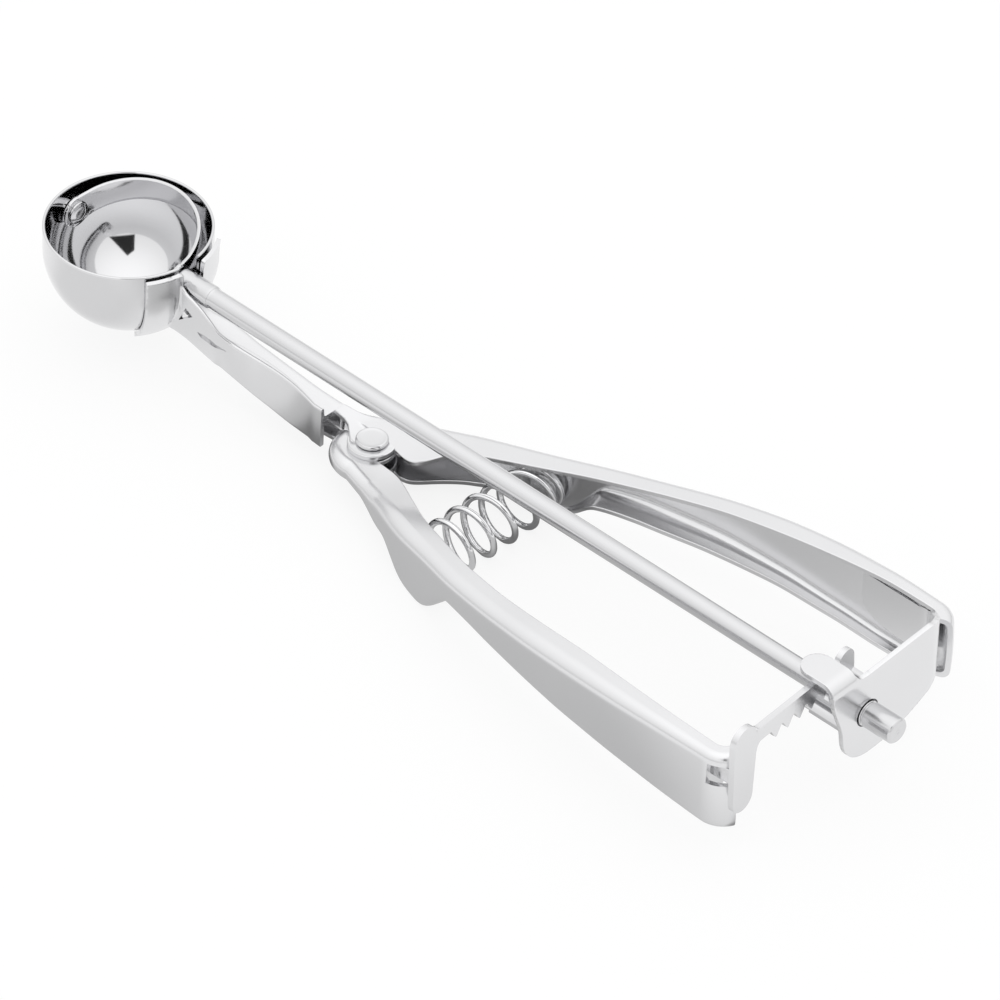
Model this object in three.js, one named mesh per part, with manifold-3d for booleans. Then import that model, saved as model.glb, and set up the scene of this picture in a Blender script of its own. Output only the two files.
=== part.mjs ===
// Squeeze-handle ice cream scoop: a bowl on a pressed handle frame, a second handle on a rivet,
// and a rack that turns a pinion, a long rod and the scraper inside the bowl.
// Millimetres. X runs from the bowl to the handle ends, Y towards the fixed handle, Z up.
// Every piece is drawn about the rod's axis with the bowl's centre at zero.

import * as THREE from 'three';
import Module from 'manifold-3d';
import { mergeVertices } from 'three/addons/utils/BufferGeometryUtils.js';

// Driving dimensions
const fitGap = 0.3;
const cutOverrun = 1;
const sheet = 1;

// Bowl
const bowlRadius = 16;
const bowlWall = 0.8;
const rimHeight = 4.8;

// Rod
const rodRadius = 2;
const journalRadius = 2.25;
const journalLength = 7.6;

// Scraper
const scraperWall = 0.7;
const scraperWidth = 5.5;
const scraperEyeRadius = 3.2;
const scraperRestTilt = 7.5;
const tipRivetRadius = 1.4;
const tipRivetHeadRadius = 2.3;
const tipRivetHeadHeight = 0.8;
const spigotRadius = 1.3;
const spigotHeadRadius = 2;
const spigotHeadHeight = 0.6;

// Saddle that carries the bowl
const saddleWall = 0.8;
const saddleHalfAngle = 34;
const saddleRimDrop = 0.6;
const saddleTipAngle = 62;

// Shank between the saddle and the pivot
const shankRootX = 12.6;
const shankOpeningX = 53.2;
const shankHalfWidth = 3;
const shankDraft = 0.7;
const shankRootDrop = 5.2;
const shankEndDrop = 8.8;
const shankHeight = 6.8;
const shankCorner = 1.5;

// Pivot
const pivotX = 63;
const pivotDrop = 9.9;
const pivotRivetRadius = 1.9;
const pivotHeadRadius = 3.1;
const pivotHeadHeight = 0.8;
const frameEyeRadius = 5.6;
const innerEyeRadius = 5.4;
const neckWrapRadius = 7.6;

// Handles
const frameReach = 112;
const squeezeShort = 2.5;
const squeezeReach = frameReach - squeezeShort;
const handleSpread = 28.9;
const frameRise = 14;
const squeezeRise = 13.2;
const frameEndHeight = 16.4;
const squeezeEndHeight = 17.4;
const frameNeckHeight = 6.6;
const handleCorner = 1.9;
const flangeWidth = 3.9;
const endCorner = 6;
const endTurn = 62;
const restSplay = 0.75;

// Spring and its seats
const springX = 90.5;
const springBase = 18.4;
const springRadius = 5.5;
const springWire = 1.25;
const springTurns = 6;
const springPhase = 0.25;
const seatDrop = 13.7;
const seatLobeDrop = 18.9;
const seatLobeReach = 12;
const seatLobeLip = 1.15;
const seatBossRadius = 2.8;
const seatBossHeight = 1.3;

// Pinion
const toothModule = 1.05;
const addendum = 0.84;
const pinionTeeth = 9;
const pressureAngle = 30;
const toothBacklash = 0.25;
const pinionLength = 9.2;
const stubRadius = 2.75;
const stubLength = 6.9;

// Rack, drawn straight and then turned about its hook in the moving handle
const rackSheet = 1.3;
const hookStandoff = 6.4;
const hookInset = 1;
const hookX = pivotX + squeezeReach + hookStandoff;
const hookY = hookInset - handleSpread;
const rackYaw = 3;
const rackTop = 9.3;
const rackTeeth = 7;
const meshPhase = -0.37;
const crossbarWidth = 5.2;
const crossbarTop = 11.3;
const crossbarBottom = 7.8;
const tongueLength = 5.2;
const tongueHeight = 3.4;
const tongueDrop = 1.2;
const tongueSlotRoom = 1.2;
const lugWidth = 4.2;
const lugTop = 11;

// End plate
const plateSheet = 1;
const plateStandoff = 7.4;
const plateX = pivotX + frameReach + plateStandoff;
const plateTop = 10;
const plateLobeDrop = 9.7;
const plateInset = 10.3;
const plateReach = handleSpread - plateInset;
const plateBend = 2;
const legLength = 15.8;
const legTop = 1.4;
const legDrop = 8.8;
const tabLength = 9.8;
const tabWidth = 6.2;
const tabNearEdge = 9.3;
const tabBend = 2.1;
const tabRoom = 0.5;

// Facet counts
const roundSteps = 32;
const bowlSteps = 48;
const bowlRings = 10;
const shankSteps = 20;
const handleSteps = 40;
const cornerSteps = 3;
const curlSteps = 8;
const wireSides = 5;

const wasm = await Module();
wasm.setup();

const radians = THREE.MathUtils.degToRad;
const halfTurn = Math.PI;
const fullTurn = 2 * Math.PI;

// Solids and booleans

function solidOf(geometry) {
  const bare = geometry.index ? geometry.toNonIndexed() : geometry.clone();
  bare.deleteAttribute('normal');
  bare.deleteAttribute('uv');
  const merged = mergeVertices(bare);
  const mesh = new wasm.Mesh({
    numProp: 3,
    vertProperties: new Float32Array(merged.attributes.position.array),
    triVerts: new Uint32Array(merged.index.array),
  });
  return new wasm.Manifold(mesh);
}

function geometryOf(solid) {
  const mesh = solid.getMesh();
  const geometry = new THREE.BufferGeometry();
  geometry.setAttribute('position', new THREE.BufferAttribute(mesh.vertProperties, 3));
  geometry.setIndex(new THREE.BufferAttribute(mesh.triVerts, 1));
  return geometry;
}

function joined(...geometries) {
  const solids = geometries.map(solidOf);
  return geometryOf(solids.reduce((sum, solid) => sum.add(solid)));
}

function cut(geometry, ...tools) {
  const rest = tools.map(solidOf).reduce((solid, tool) => solid.subtract(tool), solidOf(geometry));
  return geometryOf(rest);
}

function common(first, second) {
  return geometryOf(solidOf(first).intersect(solidOf(second)));
}

// Basic forms

function rodAlongX(fromX, toX, radius, y = 0, z = 0) {
  const rod = new THREE.CylinderGeometry(radius, radius, toX - fromX, roundSteps);
  rod.rotateZ(-halfTurn / 2);
  rod.translate((fromX + toX) / 2, y, z);
  return rod;
}

function rodAlongZ(fromZ, toZ, radius, x, y) {
  const rod = new THREE.CylinderGeometry(radius, radius, toZ - fromZ, roundSteps);
  rod.rotateX(halfTurn / 2);
  rod.translate(x, y, (fromZ + toZ) / 2);
  return rod;
}

function block(fromX, toX, fromY, toY, fromZ, toZ) {
  const box = new THREE.BoxGeometry(toX - fromX, toY - fromY, toZ - fromZ);
  box.translate((fromX + toX) / 2, (fromY + toY) / 2, (fromZ + toZ) / 2);
  return box;
}

function turnedAboutX(profile, steps = roundSteps) {
  // Profile points are (radius, place along X)
  const lathe = new THREE.LatheGeometry(profile.map(([radius, x]) => new THREE.Vector2(radius, x)), steps);
  lathe.rotateZ(-halfTurn / 2);
  return lathe;
}

function plateInYZ(outline, fromX, toX, curveSteps = cornerSteps) {
  // The shape's x is drawn along Y and its y along Z
  const plate = new THREE.ExtrudeGeometry(outline, {
    depth: toX - fromX,
    bevelEnabled: false,
    curveSegments: curveSteps,
  });
  const turn = new THREE.Matrix4().makeBasis(
    new THREE.Vector3(0, 1, 0),
    new THREE.Vector3(0, 0, 1),
    new THREE.Vector3(1, 0, 0),
  );
  plate.applyMatrix4(turn);
  plate.translate(fromX, 0, 0);
  return plate;
}

// A closed skin through equal rings of points, with flat ends

function endFaces(outline, start, inRingOrder) {
  const follows = THREE.ShapeUtils.isClockWise(outline) !== inRingOrder;
  const triangles = THREE.ShapeUtils.triangulateShape(outline, []);
  return triangles.flatMap(([a, b, c]) => (follows ? [a, b, c] : [a, c, b]).map((at) => start + at));
}

function loft(rings, endOutline) {
  const count = rings[0].length;
  const positions = rings.flat().flatMap((point) => [point.x, point.y, point.z]);
  const faces = [];
  for (let ring = 0; ring + 1 < rings.length; ring += 1) {
    for (let side = 0; side < count; side += 1) {
      const a = ring * count + side;
      const b = ring * count + ((side + 1) % count);
      faces.push(a, b, b + count, a, b + count, a + count);
    }
  }
  faces.push(...endFaces(endOutline(0), 0, false));
  faces.push(...endFaces(endOutline(rings.length - 1), (rings.length - 1) * count, true));
  const geometry = new THREE.BufferGeometry();
  geometry.setAttribute('position', new THREE.Float32BufferAttribute(positions, 3));
  geometry.setIndex(faces);
  return geometry;
}

function facingOut(geometry) {
  const position = geometry.attributes.position;
  const index = geometry.index.array;
  const [a, b, c] = [new THREE.Vector3(), new THREE.Vector3(), new THREE.Vector3()];
  let volume = 0;
  for (let corner = 0; corner < index.length; corner += 3) {
    a.fromBufferAttribute(position, index[corner]);
    b.fromBufferAttribute(position, index[corner + 1]);
    c.fromBufferAttribute(position, index[corner + 2]);
    volume += a.dot(b.cross(c));
  }
  if (volume < 0) {
    index.reverse();
  }
  return geometry;
}

// A smooth value along a length, through shares that are chosen by hand

function alongShares(shares) {
  const spans = shares.slice(1).map((share, place) => share[0] - shares[place][0]);
  const rises = spans.map((span, place) => (shares[place + 1][1] - shares[place][1]) / span);
  const slopes = shares.map((share, place) => {
    const before = rises[Math.max(place - 1, 0)];
    const after = rises[Math.min(place, rises.length - 1)];
    if (before * after <= 0) {
      return 0;
    }
    const spanBefore = spans[Math.max(place - 1, 0)];
    const spanAfter = spans[Math.min(place, spans.length - 1)];
    return (before * spanAfter + after * spanBefore) / (spanBefore + spanAfter);
  });
  return (at) => {
    const place = Math.max(0, shares.findLastIndex((share) => share[0] <= at));
    const from = Math.min(place, shares.length - 2);
    const span = spans[from];
    const t = THREE.MathUtils.clamp((at - shares[from][0]) / span, 0, 1);
    const rise = shares[from + 1][1] - shares[from][1];
    const bendIn = slopes[from] * span - rise;
    const bendOut = rise - slopes[from + 1] * span;
    const straight = shares[from][1] + rise * t;
    return straight + t * (1 - t) * ((1 - t) * bendIn + t * bendOut);
  };
}

// Bowl with the slot for the rod and the hole for the scraper's rivet

const bowlInnerRadius = bowlRadius - bowlWall;
const slotHalfWidth = journalRadius + fitGap;

function bowlSkin(radius, top) {
  const points = [];
  for (let ring = 0; ring <= bowlRings; ring += 1) {
    const angle = (ring / bowlRings) * (halfTurn / 2);
    points.push(new THREE.Vector2(radius * Math.sin(angle), -radius * Math.cos(angle)));
  }
  points.push(new THREE.Vector2(radius, top));
  return points;
}

function rodSlot(fromX, toX) {
  const slot = block(fromX, toX, -slotHalfWidth, slotHalfWidth, 0, rimHeight + cutOverrun);
  return joined(slot, rodAlongX(fromX, toX, slotHalfWidth));
}

function makeBowl() {
  const outer = bowlSkin(bowlRadius, rimHeight);
  const inner = bowlSkin(bowlInnerRadius, rimHeight).reverse();
  const shell = new THREE.LatheGeometry([...outer, ...inner], bowlSteps);
  shell.rotateX(halfTurn / 2);
  const rivetHole = rodAlongX(-bowlRadius - cutOverrun, 0, tipRivetRadius + fitGap);
  return cut(shell, rodSlot(0, bowlRadius + cutOverrun), rivetHole);
}

// Scraper: a half hoop with an eye at each end, turned to its place at rest

const scraperRadius = Math.sqrt((bowlInnerRadius - fitGap) ** 2 - scraperEyeRadius ** 2) - fitGap / 2;
const scraperInnerRadius = scraperRadius - scraperWall;

function makeScraper() {
  const steps = bowlSteps / 2;
  const half = scraperWidth / 2;
  const rings = [];
  for (let step = 0; step <= steps; step += 1) {
    const angle = (step / steps) * halfTurn;
    const place = (radius, z) => new THREE.Vector3(-radius * Math.cos(angle), radius * Math.sin(angle), z);
    rings.push([
      place(scraperRadius, -half),
      place(scraperRadius, half),
      place(scraperInnerRadius, half),
      place(scraperInnerRadius, -half),
    ]);
  }
  const section = [
    new THREE.Vector2(scraperRadius, -half),
    new THREE.Vector2(scraperRadius, half),
    new THREE.Vector2(scraperInnerRadius, half),
    new THREE.Vector2(scraperInnerRadius, -half),
  ];
  const hoop = facingOut(loft(rings, () => section));
  const frontEye = rodAlongX(-scraperRadius, -scraperInnerRadius, scraperEyeRadius);
  const rearEye = rodAlongX(scraperInnerRadius, scraperRadius, scraperEyeRadius);
  const frontHole = rodAlongX(-scraperRadius - cutOverrun, 0, tipRivetRadius + fitGap);
  const rearHole = rodAlongX(0, scraperRadius + cutOverrun, spigotRadius + fitGap);
  const blade = cut(joined(hoop, frontEye, rearEye), frontHole, rearHole);
  blade.rotateX(radians(scraperRestTilt));
  return blade;
}

function makeScraperRivet() {
  const seat = Math.sqrt(bowlRadius ** 2 - tipRivetHeadRadius ** 2) + fitGap;
  const inside = scraperInnerRadius - fitGap;
  return turnedAboutX([
    [0, -seat - tipRivetHeadHeight],
    [tipRivetHeadRadius * 0.6, -seat - tipRivetHeadHeight * 0.85],
    [tipRivetHeadRadius, -seat - tipRivetHeadHeight * 0.3],
    [tipRivetHeadRadius, -seat],
    [tipRivetRadius, -seat],
    [tipRivetRadius, -inside],
    [tipRivetHeadRadius, -inside],
    [tipRivetHeadRadius, -inside + tipRivetHeadHeight * 0.5],
    [tipRivetHeadRadius * 0.6, -inside + tipRivetHeadHeight],
    [0, -inside + tipRivetHeadHeight],
  ]);
}

// Rod, with a spigot riveted over in the scraper's rear eye

const pitchRadius = (toothModule * pinionTeeth) / 2;
const tipRadius = pitchRadius + addendum;
const rootRadius = pitchRadius - addendum - fitGap;
const toothPitch = halfTurn * toothModule;
const pinionEndX = plateX - fitGap;
const pinionStartX = pinionEndX - pinionLength;
const rodEndX = pinionEndX - fitGap;
const rodStartX = scraperRadius + fitGap;

function makeRod() {
  const headX = scraperInnerRadius - fitGap;
  return turnedAboutX([
    [0, headX - spigotHeadHeight],
    [spigotHeadRadius * 0.6, headX - spigotHeadHeight],
    [spigotHeadRadius, headX - spigotHeadHeight / 2],
    [spigotHeadRadius, headX],
    [spigotRadius, headX],
    [spigotRadius, rodStartX],
    [journalRadius, rodStartX],
    [journalRadius, rodStartX + journalLength],
    [rodRadius, rodStartX + journalLength + (journalRadius - rodRadius)],
    [rodRadius, rodEndX],
    [0, rodEndX],
  ]);
}

// Pinion with its neck and the stub outside the end plate

function involutePoint(baseRadius, radius, startAngle) {
  const roll = Math.sqrt(Math.max(0, (radius / baseRadius) ** 2 - 1));
  const angle = startAngle - (roll - Math.atan(roll));
  return new THREE.Vector2(radius * Math.cos(angle), radius * Math.sin(angle));
}

function pinionOutline() {
  const baseRadius = pitchRadius * Math.cos(radians(pressureAngle));
  const involuteAtPitch = Math.tan(radians(pressureAngle)) - radians(pressureAngle);
  const halfTooth = (toothPitch - toothBacklash) / (4 * pitchRadius) + involuteAtPitch;
  const outline = [];
  for (let tooth = 0; tooth < pinionTeeth; tooth += 1) {
    const middle = ((tooth - meshPhase) / pinionTeeth) * fullTurn + halfTurn / 2;
    const flank = [rootRadius, baseRadius];
    for (let step = 1; step <= cornerSteps; step += 1) {
      flank.push(baseRadius + ((tipRadius - baseRadius) * step) / cornerSteps);
    }
    const rising = flank.map((radius) => involutePoint(baseRadius, radius, halfTooth));
    const turnTo = (point, side) => new THREE.Vector2(point.x, point.y * side)
      .rotateAround(new THREE.Vector2(), middle);
    outline.push(...rising.map((point) => turnTo(point, -1)));
    outline.push(...rising.toReversed().map((point) => turnTo(point, 1)));
  }
  return new THREE.Shape(outline);
}

function makePinion() {
  const gear = plateInYZ(pinionOutline(), pinionStartX, pinionEndX);
  const stub = turnedAboutX([
    [0, pinionEndX - cutOverrun],
    [stubRadius, pinionEndX - cutOverrun],
    [stubRadius, plateX + plateSheet + fitGap + stubLength - fitGap],
    [stubRadius - fitGap, plateX + plateSheet + fitGap + stubLength],
    [0, plateX + plateSheet + fitGap + stubLength],
  ]);
  const bore = rodAlongX(pinionStartX - cutOverrun, pinionEndX, rodRadius + fitGap);
  return cut(joined(gear, stub), bore);
}

// Rack: teeth under a flat strip, a crossbar and a tongue at the hook, a stop lug at the tail

const meshPlace = -hookY / Math.cos(radians(rackYaw));

function rackOutline() {
  // Places along the strip are measured from the hook
  const slant = Math.tan(radians(pressureAngle));
  const tip = pitchRadius - addendum;
  const root = pitchRadius + addendum + fitGap;
  const halfAtPitch = (toothPitch - toothBacklash) / 4;
  const lugMiddle = meshPlace;
  const tail = lugMiddle + lugWidth / 2 + fitGap / 2;
  const outline = new THREE.Shape();
  outline.moveTo(0, root);
  for (let tooth = 0; tooth < rackTeeth; tooth += 1) {
    const middle = meshPlace + (tooth - rackTeeth + 1.5 + meshPhase) * toothPitch;
    outline.lineTo(middle - halfAtPitch - (root - pitchRadius) * slant, root);
    outline.lineTo(middle - halfAtPitch + (pitchRadius - tip) * slant, tip);
    outline.lineTo(middle + halfAtPitch - (pitchRadius - tip) * slant, tip);
    outline.lineTo(middle + halfAtPitch + (root - pitchRadius) * slant, root);
  }
  outline.lineTo(tail, root);
  outline.lineTo(tail, rackTop - lugWidth / 2);
  outline.absarc(lugMiddle, lugTop - lugWidth / 2, lugWidth / 2, 0, halfTurn, false);
  outline.lineTo(lugMiddle - lugWidth / 2, rackTop);
  outline.lineTo(0, rackTop);
  return outline;
}

function crossbarOutline() {
  const radius = crossbarWidth / 2;
  const outline = new THREE.Shape();
  outline.absarc(0, crossbarTop - radius, radius, 0, halfTurn, false);
  outline.absarc(0, -crossbarBottom + radius, radius, halfTurn, fullTurn, false);
  outline.closePath();
  return outline;
}

function makeRack() {
  const half = rackSheet / 2;
  const strip = plateInYZ(rackOutline(), -half, half, cornerSteps * 2);
  const crossbar = plateInYZ(crossbarOutline(), -half, half, cornerSteps * 3);
  const tongue = block(
    -tongueLength,
    half,
    -half,
    half,
    -tongueDrop - tongueHeight / 2,
    -tongueDrop + tongueHeight / 2,
  );
  const rack = joined(strip, crossbar, tongue);
  rack.rotateZ(radians(rackYaw));
  rack.translate(hookX, hookY, 0);
  return rack;
}

// End plate: a strip bent out of the fixed handle, with a lobe round the shaft and a tab over the rack

function bandAlong(path, outlineAt) {
  // A sheet that follows a plan path; outlineAt gives the lower and upper edge at each point
  const half = plateSheet / 2;
  const rings = path.map((point, place) => {
    const before = path[Math.max(place - 1, 0)];
    const after = path[Math.min(place + 1, path.length - 1)];
    const along = new THREE.Vector2().subVectors(after, before).normalize();
    const side = new THREE.Vector2(-along.y, along.x).multiplyScalar(half);
    const [low, high] = outlineAt(place, point);
    return [
      new THREE.Vector3(point.x - side.x, point.y - side.y, low),
      new THREE.Vector3(point.x + side.x, point.y + side.y, low),
      new THREE.Vector3(point.x + side.x, point.y + side.y, high),
      new THREE.Vector3(point.x - side.x, point.y - side.y, high),
    ];
  });
  const section = [[0, 0], [1, 0], [1, 1], [0, 1]].map(([x, y]) => new THREE.Vector2(x, y));
  return facingOut(loft(rings, () => section));
}

function roundedPath(corners, radius) {
  const path = new THREE.CurvePath();
  let from = corners[0];
  for (let place = 1; place + 1 < corners.length; place += 1) {
    const corner = corners[place];
    const into = corner.clone().add(corners[place - 1].clone().sub(corner).setLength(radius));
    const out = corner.clone().add(corners[place + 1].clone().sub(corner).setLength(radius));
    path.add(new THREE.LineCurve(from, into));
    path.add(new THREE.QuadraticBezierCurve(into, corner, out));
    from = out;
  }
  path.add(new THREE.LineCurve(from, corners.at(-1)));
  return path.curves.flatMap((curve, place) => curve.getPoints(cornerSteps * 2).slice(place ? 1 : 0));
}

const plateMiddleX = plateX + plateSheet / 2;
const legY = handleSpread - sheet - fitGap - plateSheet / 2 - 0.2 * sheet;
const legBendX = plateMiddleX - (legY - plateReach);
const legEndX = legBendX - legLength;

const tabFarEdge = tabWidth - tabNearEdge;
const tabTop = rackTop + tabRoom + plateSheet;

function plateFaceOutline() {
  const outline = new THREE.Shape();
  outline.moveTo(-tabNearEdge, tabTop - tabBend);
  outline.bezierCurveTo(
    -tabNearEdge * 0.84, plateTop * 0.45,
    -tabNearEdge * 0.66, plateTop * 0.1,
    -plateLobeDrop * 0.62, -plateLobeDrop * 0.3,
  );
  outline.bezierCurveTo(
    -plateLobeDrop * 0.56, -plateLobeDrop * 0.86,
    -plateLobeDrop * 0.2, -plateLobeDrop,
    plateLobeDrop * 0.1, -plateLobeDrop,
  );
  outline.bezierCurveTo(
    plateLobeDrop * 0.7, -plateLobeDrop,
    plateReach * 0.6, -plateLobeDrop * 0.85,
    plateReach, -plateLobeDrop * 0.43,
  );
  outline.lineTo(plateReach, plateTop);
  outline.lineTo(tabFarEdge + plateSheet, plateTop * 0.87);
  outline.quadraticCurveTo(tabFarEdge, plateTop * 0.86, tabFarEdge, tabTop - tabBend);
  return outline;
}

function makeTab() {
  // A strip bent back over the rack, its rear end round
  const profile = new THREE.Shape();
  const outer = plateX + plateSheet;
  const innerBend = tabBend - plateSheet;
  const rear = outer - tabLength;
  profile.moveTo(rear, tabTop);
  profile.lineTo(rear, tabTop - plateSheet);
  profile.lineTo(outer - tabBend, tabTop - plateSheet);
  profile.absarc(outer - tabBend, tabTop - tabBend, innerBend, halfTurn / 2, 0, true);
  profile.lineTo(plateX, tabTop - tabBend - plateSheet);
  profile.lineTo(outer, tabTop - tabBend - plateSheet);
  profile.absarc(outer - tabBend, tabTop - tabBend, tabBend, 0, halfTurn / 2, false);
  const strip = new THREE.ExtrudeGeometry(profile, {
    depth: tabWidth,
    bevelEnabled: false,
    curveSegments: cornerSteps * 2,
  });
  strip.rotateX(halfTurn / 2);
  strip.translate(0, tabFarEdge, 0);
  const round = tabWidth / 2;
  const middle = tabFarEdge - round;
  const low = tabTop - tabBend - plateSheet - cutOverrun;
  const keep = joined(
    block(rear + round, outer + cutOverrun, middle - round, middle + round, low, tabTop + cutOverrun),
    rodAlongZ(low, tabTop + cutOverrun, round, rear + round, middle),
  );
  return common(strip, keep);
}

function makeEndPlate() {
  const face = plateInYZ(plateFaceOutline(), plateX, plateX + plateSheet, cornerSteps * 2);
  const path = roundedPath([
    new THREE.Vector2(legEndX, legY),
    new THREE.Vector2(legBendX, legY),
    new THREE.Vector2(plateMiddleX, plateReach),
    new THREE.Vector2(plateMiddleX, plateReach - plateBend * 2),
  ], plateBend);
  const low = -plateLobeDrop * 0.43;
  const topRiseX = pivotX + frameReach + endCorner * 0.8;
  const lowRiseX = pivotX + frameReach - endCorner / 3;
  const edges = (place, point) => {
    const past = (fromX) => THREE.MathUtils.clamp((point.x - fromX) / (plateX - fromX), 0, 1);
    const start = THREE.MathUtils.clamp((point.x - legEndX) / legDrop, 0, 1);
    const legLow = THREE.MathUtils.lerp(-legDrop * 0.45, -legDrop, Math.sqrt(start * (2 - start)));
    return [
      THREE.MathUtils.lerp(legLow, low, past(lowRiseX)),
      THREE.MathUtils.lerp(legTop, plateTop, past(topRiseX)),
    ];
  };
  const leg = bandAlong(path, edges);
  const shaftHole = rodAlongX(plateX - cutOverrun, plateX + plateSheet + cutOverrun, stubRadius + fitGap);
  return cut(joined(face, leg, makeTab()), shaftHole);
}

// Handle channel: a folded sheet that follows the handle's plan curve

function channelSection({ top, bottom, flange, lowFlange, lowCorner }) {
  // Points are (distance inward from the outer face, height)
  const corner = (radius, edge, upward) => {
    const points = [];
    const inside = [];
    const innerRadius = Math.max(radius - sheet, fitGap / 2);
    for (let step = 0; step <= cornerSteps; step += 1) {
      const angle = (step / cornerSteps) * (halfTurn / 2);
      const sine = Math.sin(angle);
      const cosine = Math.cos(angle);
      points.push([radius - radius * sine, edge - upward * (radius - radius * cosine)]);
      inside.push([
        sheet + innerRadius - innerRadius * sine,
        edge - upward * (sheet + innerRadius - innerRadius * cosine),
      ]);
    }
    return [points, inside];
  };
  const [topOuter, topInner] = corner(handleCorner, top, 1);
  const [lowOuter, lowInner] = corner(lowCorner, bottom, -1);
  return [
    [flange, top],
    ...topOuter,
    ...lowOuter.reverse(),
    [lowFlange, bottom],
    [lowFlange, bottom + sheet],
    ...lowInner,
    ...topInner.reverse(),
    [flange, top - sheet],
  ];
}

function channel(stations) {
  const sections = stations.map(channelSection);
  const rings = stations.map((station, place) => sections[place].map(([inward, z]) => new THREE.Vector3(
    station.point.x + station.inward.x * inward,
    station.point.y + station.inward.y * inward,
    z,
  )));
  const outline = (place) => sections[place].map(([inward, z]) => new THREE.Vector2(inward, z));
  return facingOut(loft(rings, outline));
}

// Stations along the handle are at shares of its reach from the pivot

const farSpreadShares = [
  [-0.12, 0.075], [-0.08, 0.116], [-0.028, 0.255], [0.032, 0.39], [0.114, 0.51], [0.265, 0.64],
  [0.356, 0.73], [0.466, 0.824], [0.575, 0.9], [0.685, 0.958], [0.795, 0.99], [0.904, 1.003], [1, 0.998],
];
const nearSpreadShares = [
  [0, 0.25], [0.055, 0.306], [0.128, 0.437], [0.192, 0.556], [0.265, 0.64],
  [0.356, 0.73], [0.466, 0.824], [0.575, 0.9], [0.685, 0.958], [0.795, 0.99], [0.904, 1.003], [1, 0.998],
];
const riseShares = [
  [-0.12, 0.1], [-0.088, 0.07], [-0.062, 0], [0.05, 0], [0.114, 0.075], [0.265, 0.26], [0.356, 0.4], [0.466, 0.54],
  [0.575, 0.66], [0.685, 0.765], [0.795, 0.855], [0.904, 0.935], [1, 0.985], [1.08, 1],
];
const frameHeightShares = [
  [-0.12, 0], [0.02, 0], [0.055, 0.09], [0.107, 0.08], [0.366, 0.08], [0.43, 0.13], [0.545, 0.36],
  [0.652, 0.57], [0.768, 0.745], [0.884, 0.9], [0.97, 0.95], [1.01, 0.9], [1.035, 0.8], [1.047, 0.69],
];
const nearHeightShares = [
  [0, 0], [0.062, 0], [0.119, 0.23], [0.2, 0.25], [0.374, 0.26], [0.438, 0.29], [0.557, 0.45],
  [0.667, 0.61], [0.785, 0.745], [0.904, 0.88], [1, 0.98], [1.08, 1],
];
const frameFlangeShares = [
  [-0.12, 0.8], [-0.07, 1], [-0.03, 1.3], [0, 2.3], [0.018, 2.9], [0.068, 2], [0.1, 1.62], [0.155, 1.7],
  [0.22, 1.63], [0.315, 1.35], [0.42, 1.08], [1, 1], [1.08, 1],
];
const nearFlangeShares = [
  [0, 1.3], [0.06, 1.9], [0.12, 1.75], [0.19, 1.75], [0.265, 1.6], [0.34, 1.3], [0.44, 1.05], [1, 1],
  [1.08, 1],
];

function lobeShare(x) {
  // The wall drops round the spring's seat, blended into the lower edge on both sides
  const away = Math.abs(x - springX) / seatLobeReach;
  return away < 1 ? 0.5 + 0.5 * Math.cos(away ** 1.5 * halfTurn) : 0;
}

function handleStations({ reach, spread, flange, height, topZ, rise, neckHeight, endHeight, fromShare, steps }) {
  const endX = pivotX + reach;
  const spreadAt = alongShares(spread);
  const riseAt = alongShares(riseShares);
  const growAt = alongShares(height);
  const flangeAt = alongShares(flange);
  const section = (share, x) => {
    const top = topZ(share) + riseAt(share) * rise;
    const bottom = top - THREE.MathUtils.lerp(neckHeight, endHeight, growAt(share));
    const lobe = lobeShare(x);
    const width = flangeAt(share) * flangeWidth;
    return {
      top,
      bottom: THREE.MathUtils.lerp(bottom, -seatLobeDrop, lobe),
      flange: width,
      lowFlange: THREE.MathUtils.lerp(width, seatLobeLip + fitGap / 2, lobe),
      lowCorner: THREE.MathUtils.lerp(handleCorner, seatLobeLip, lobe),
    };
  };
  const yAt = (share) => spreadAt(share) * handleSpread;
  const stations = [];
  for (let step = 0; step <= steps; step += 1) {
    const share = THREE.MathUtils.lerp(fromShare, 1, step / steps);
    const x = pivotX + share * reach;
    const nudge = 1 / (steps * 8);
    const slope = (yAt(share + nudge) - yAt(share - nudge)) / (2 * nudge * reach);
    stations.push({
      point: new THREE.Vector2(x, yAt(share)),
      inward: new THREE.Vector2(slope, -1).normalize(),
      ...section(share, x),
    });
  }
  // The wall turns inward round the end
  const last = stations.at(-1);
  const centre = last.point.clone().addScaledVector(last.inward, endCorner);
  const start = Math.atan2(-last.inward.y, -last.inward.x);
  const turnSteps = cornerSteps * 2;
  for (let step = 1; step <= turnSteps; step += 1) {
    const angle = start - (step / turnSteps) * radians(endTurn);
    const outward = new THREE.Vector2(Math.cos(angle), Math.sin(angle));
    const point = centre.clone().addScaledVector(outward, endCorner);
    stations.push({
      point,
      inward: outward.negate(),
      ...section(1 + (point.x - endX) / reach, point.x),
    });
  }
  return stations;
}

// Spring seats: a pressed boss on each wall, square to the wall where the spring meets it

function wallAtSpring(reach, spread) {
  const at = alongShares(spread);
  const share = (springX - pivotX) / reach;
  const nudge = 1 / reach;
  return {
    y: at(share) * handleSpread,
    slope: ((at(share + nudge) - at(share - nudge)) * handleSpread) / (2 * nudge * reach),
  };
}

const frameWall = wallAtSpring(frameReach, farSpreadShares);
const squeezeWall = wallAtSpring(squeezeReach, nearSpreadShares);

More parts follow.
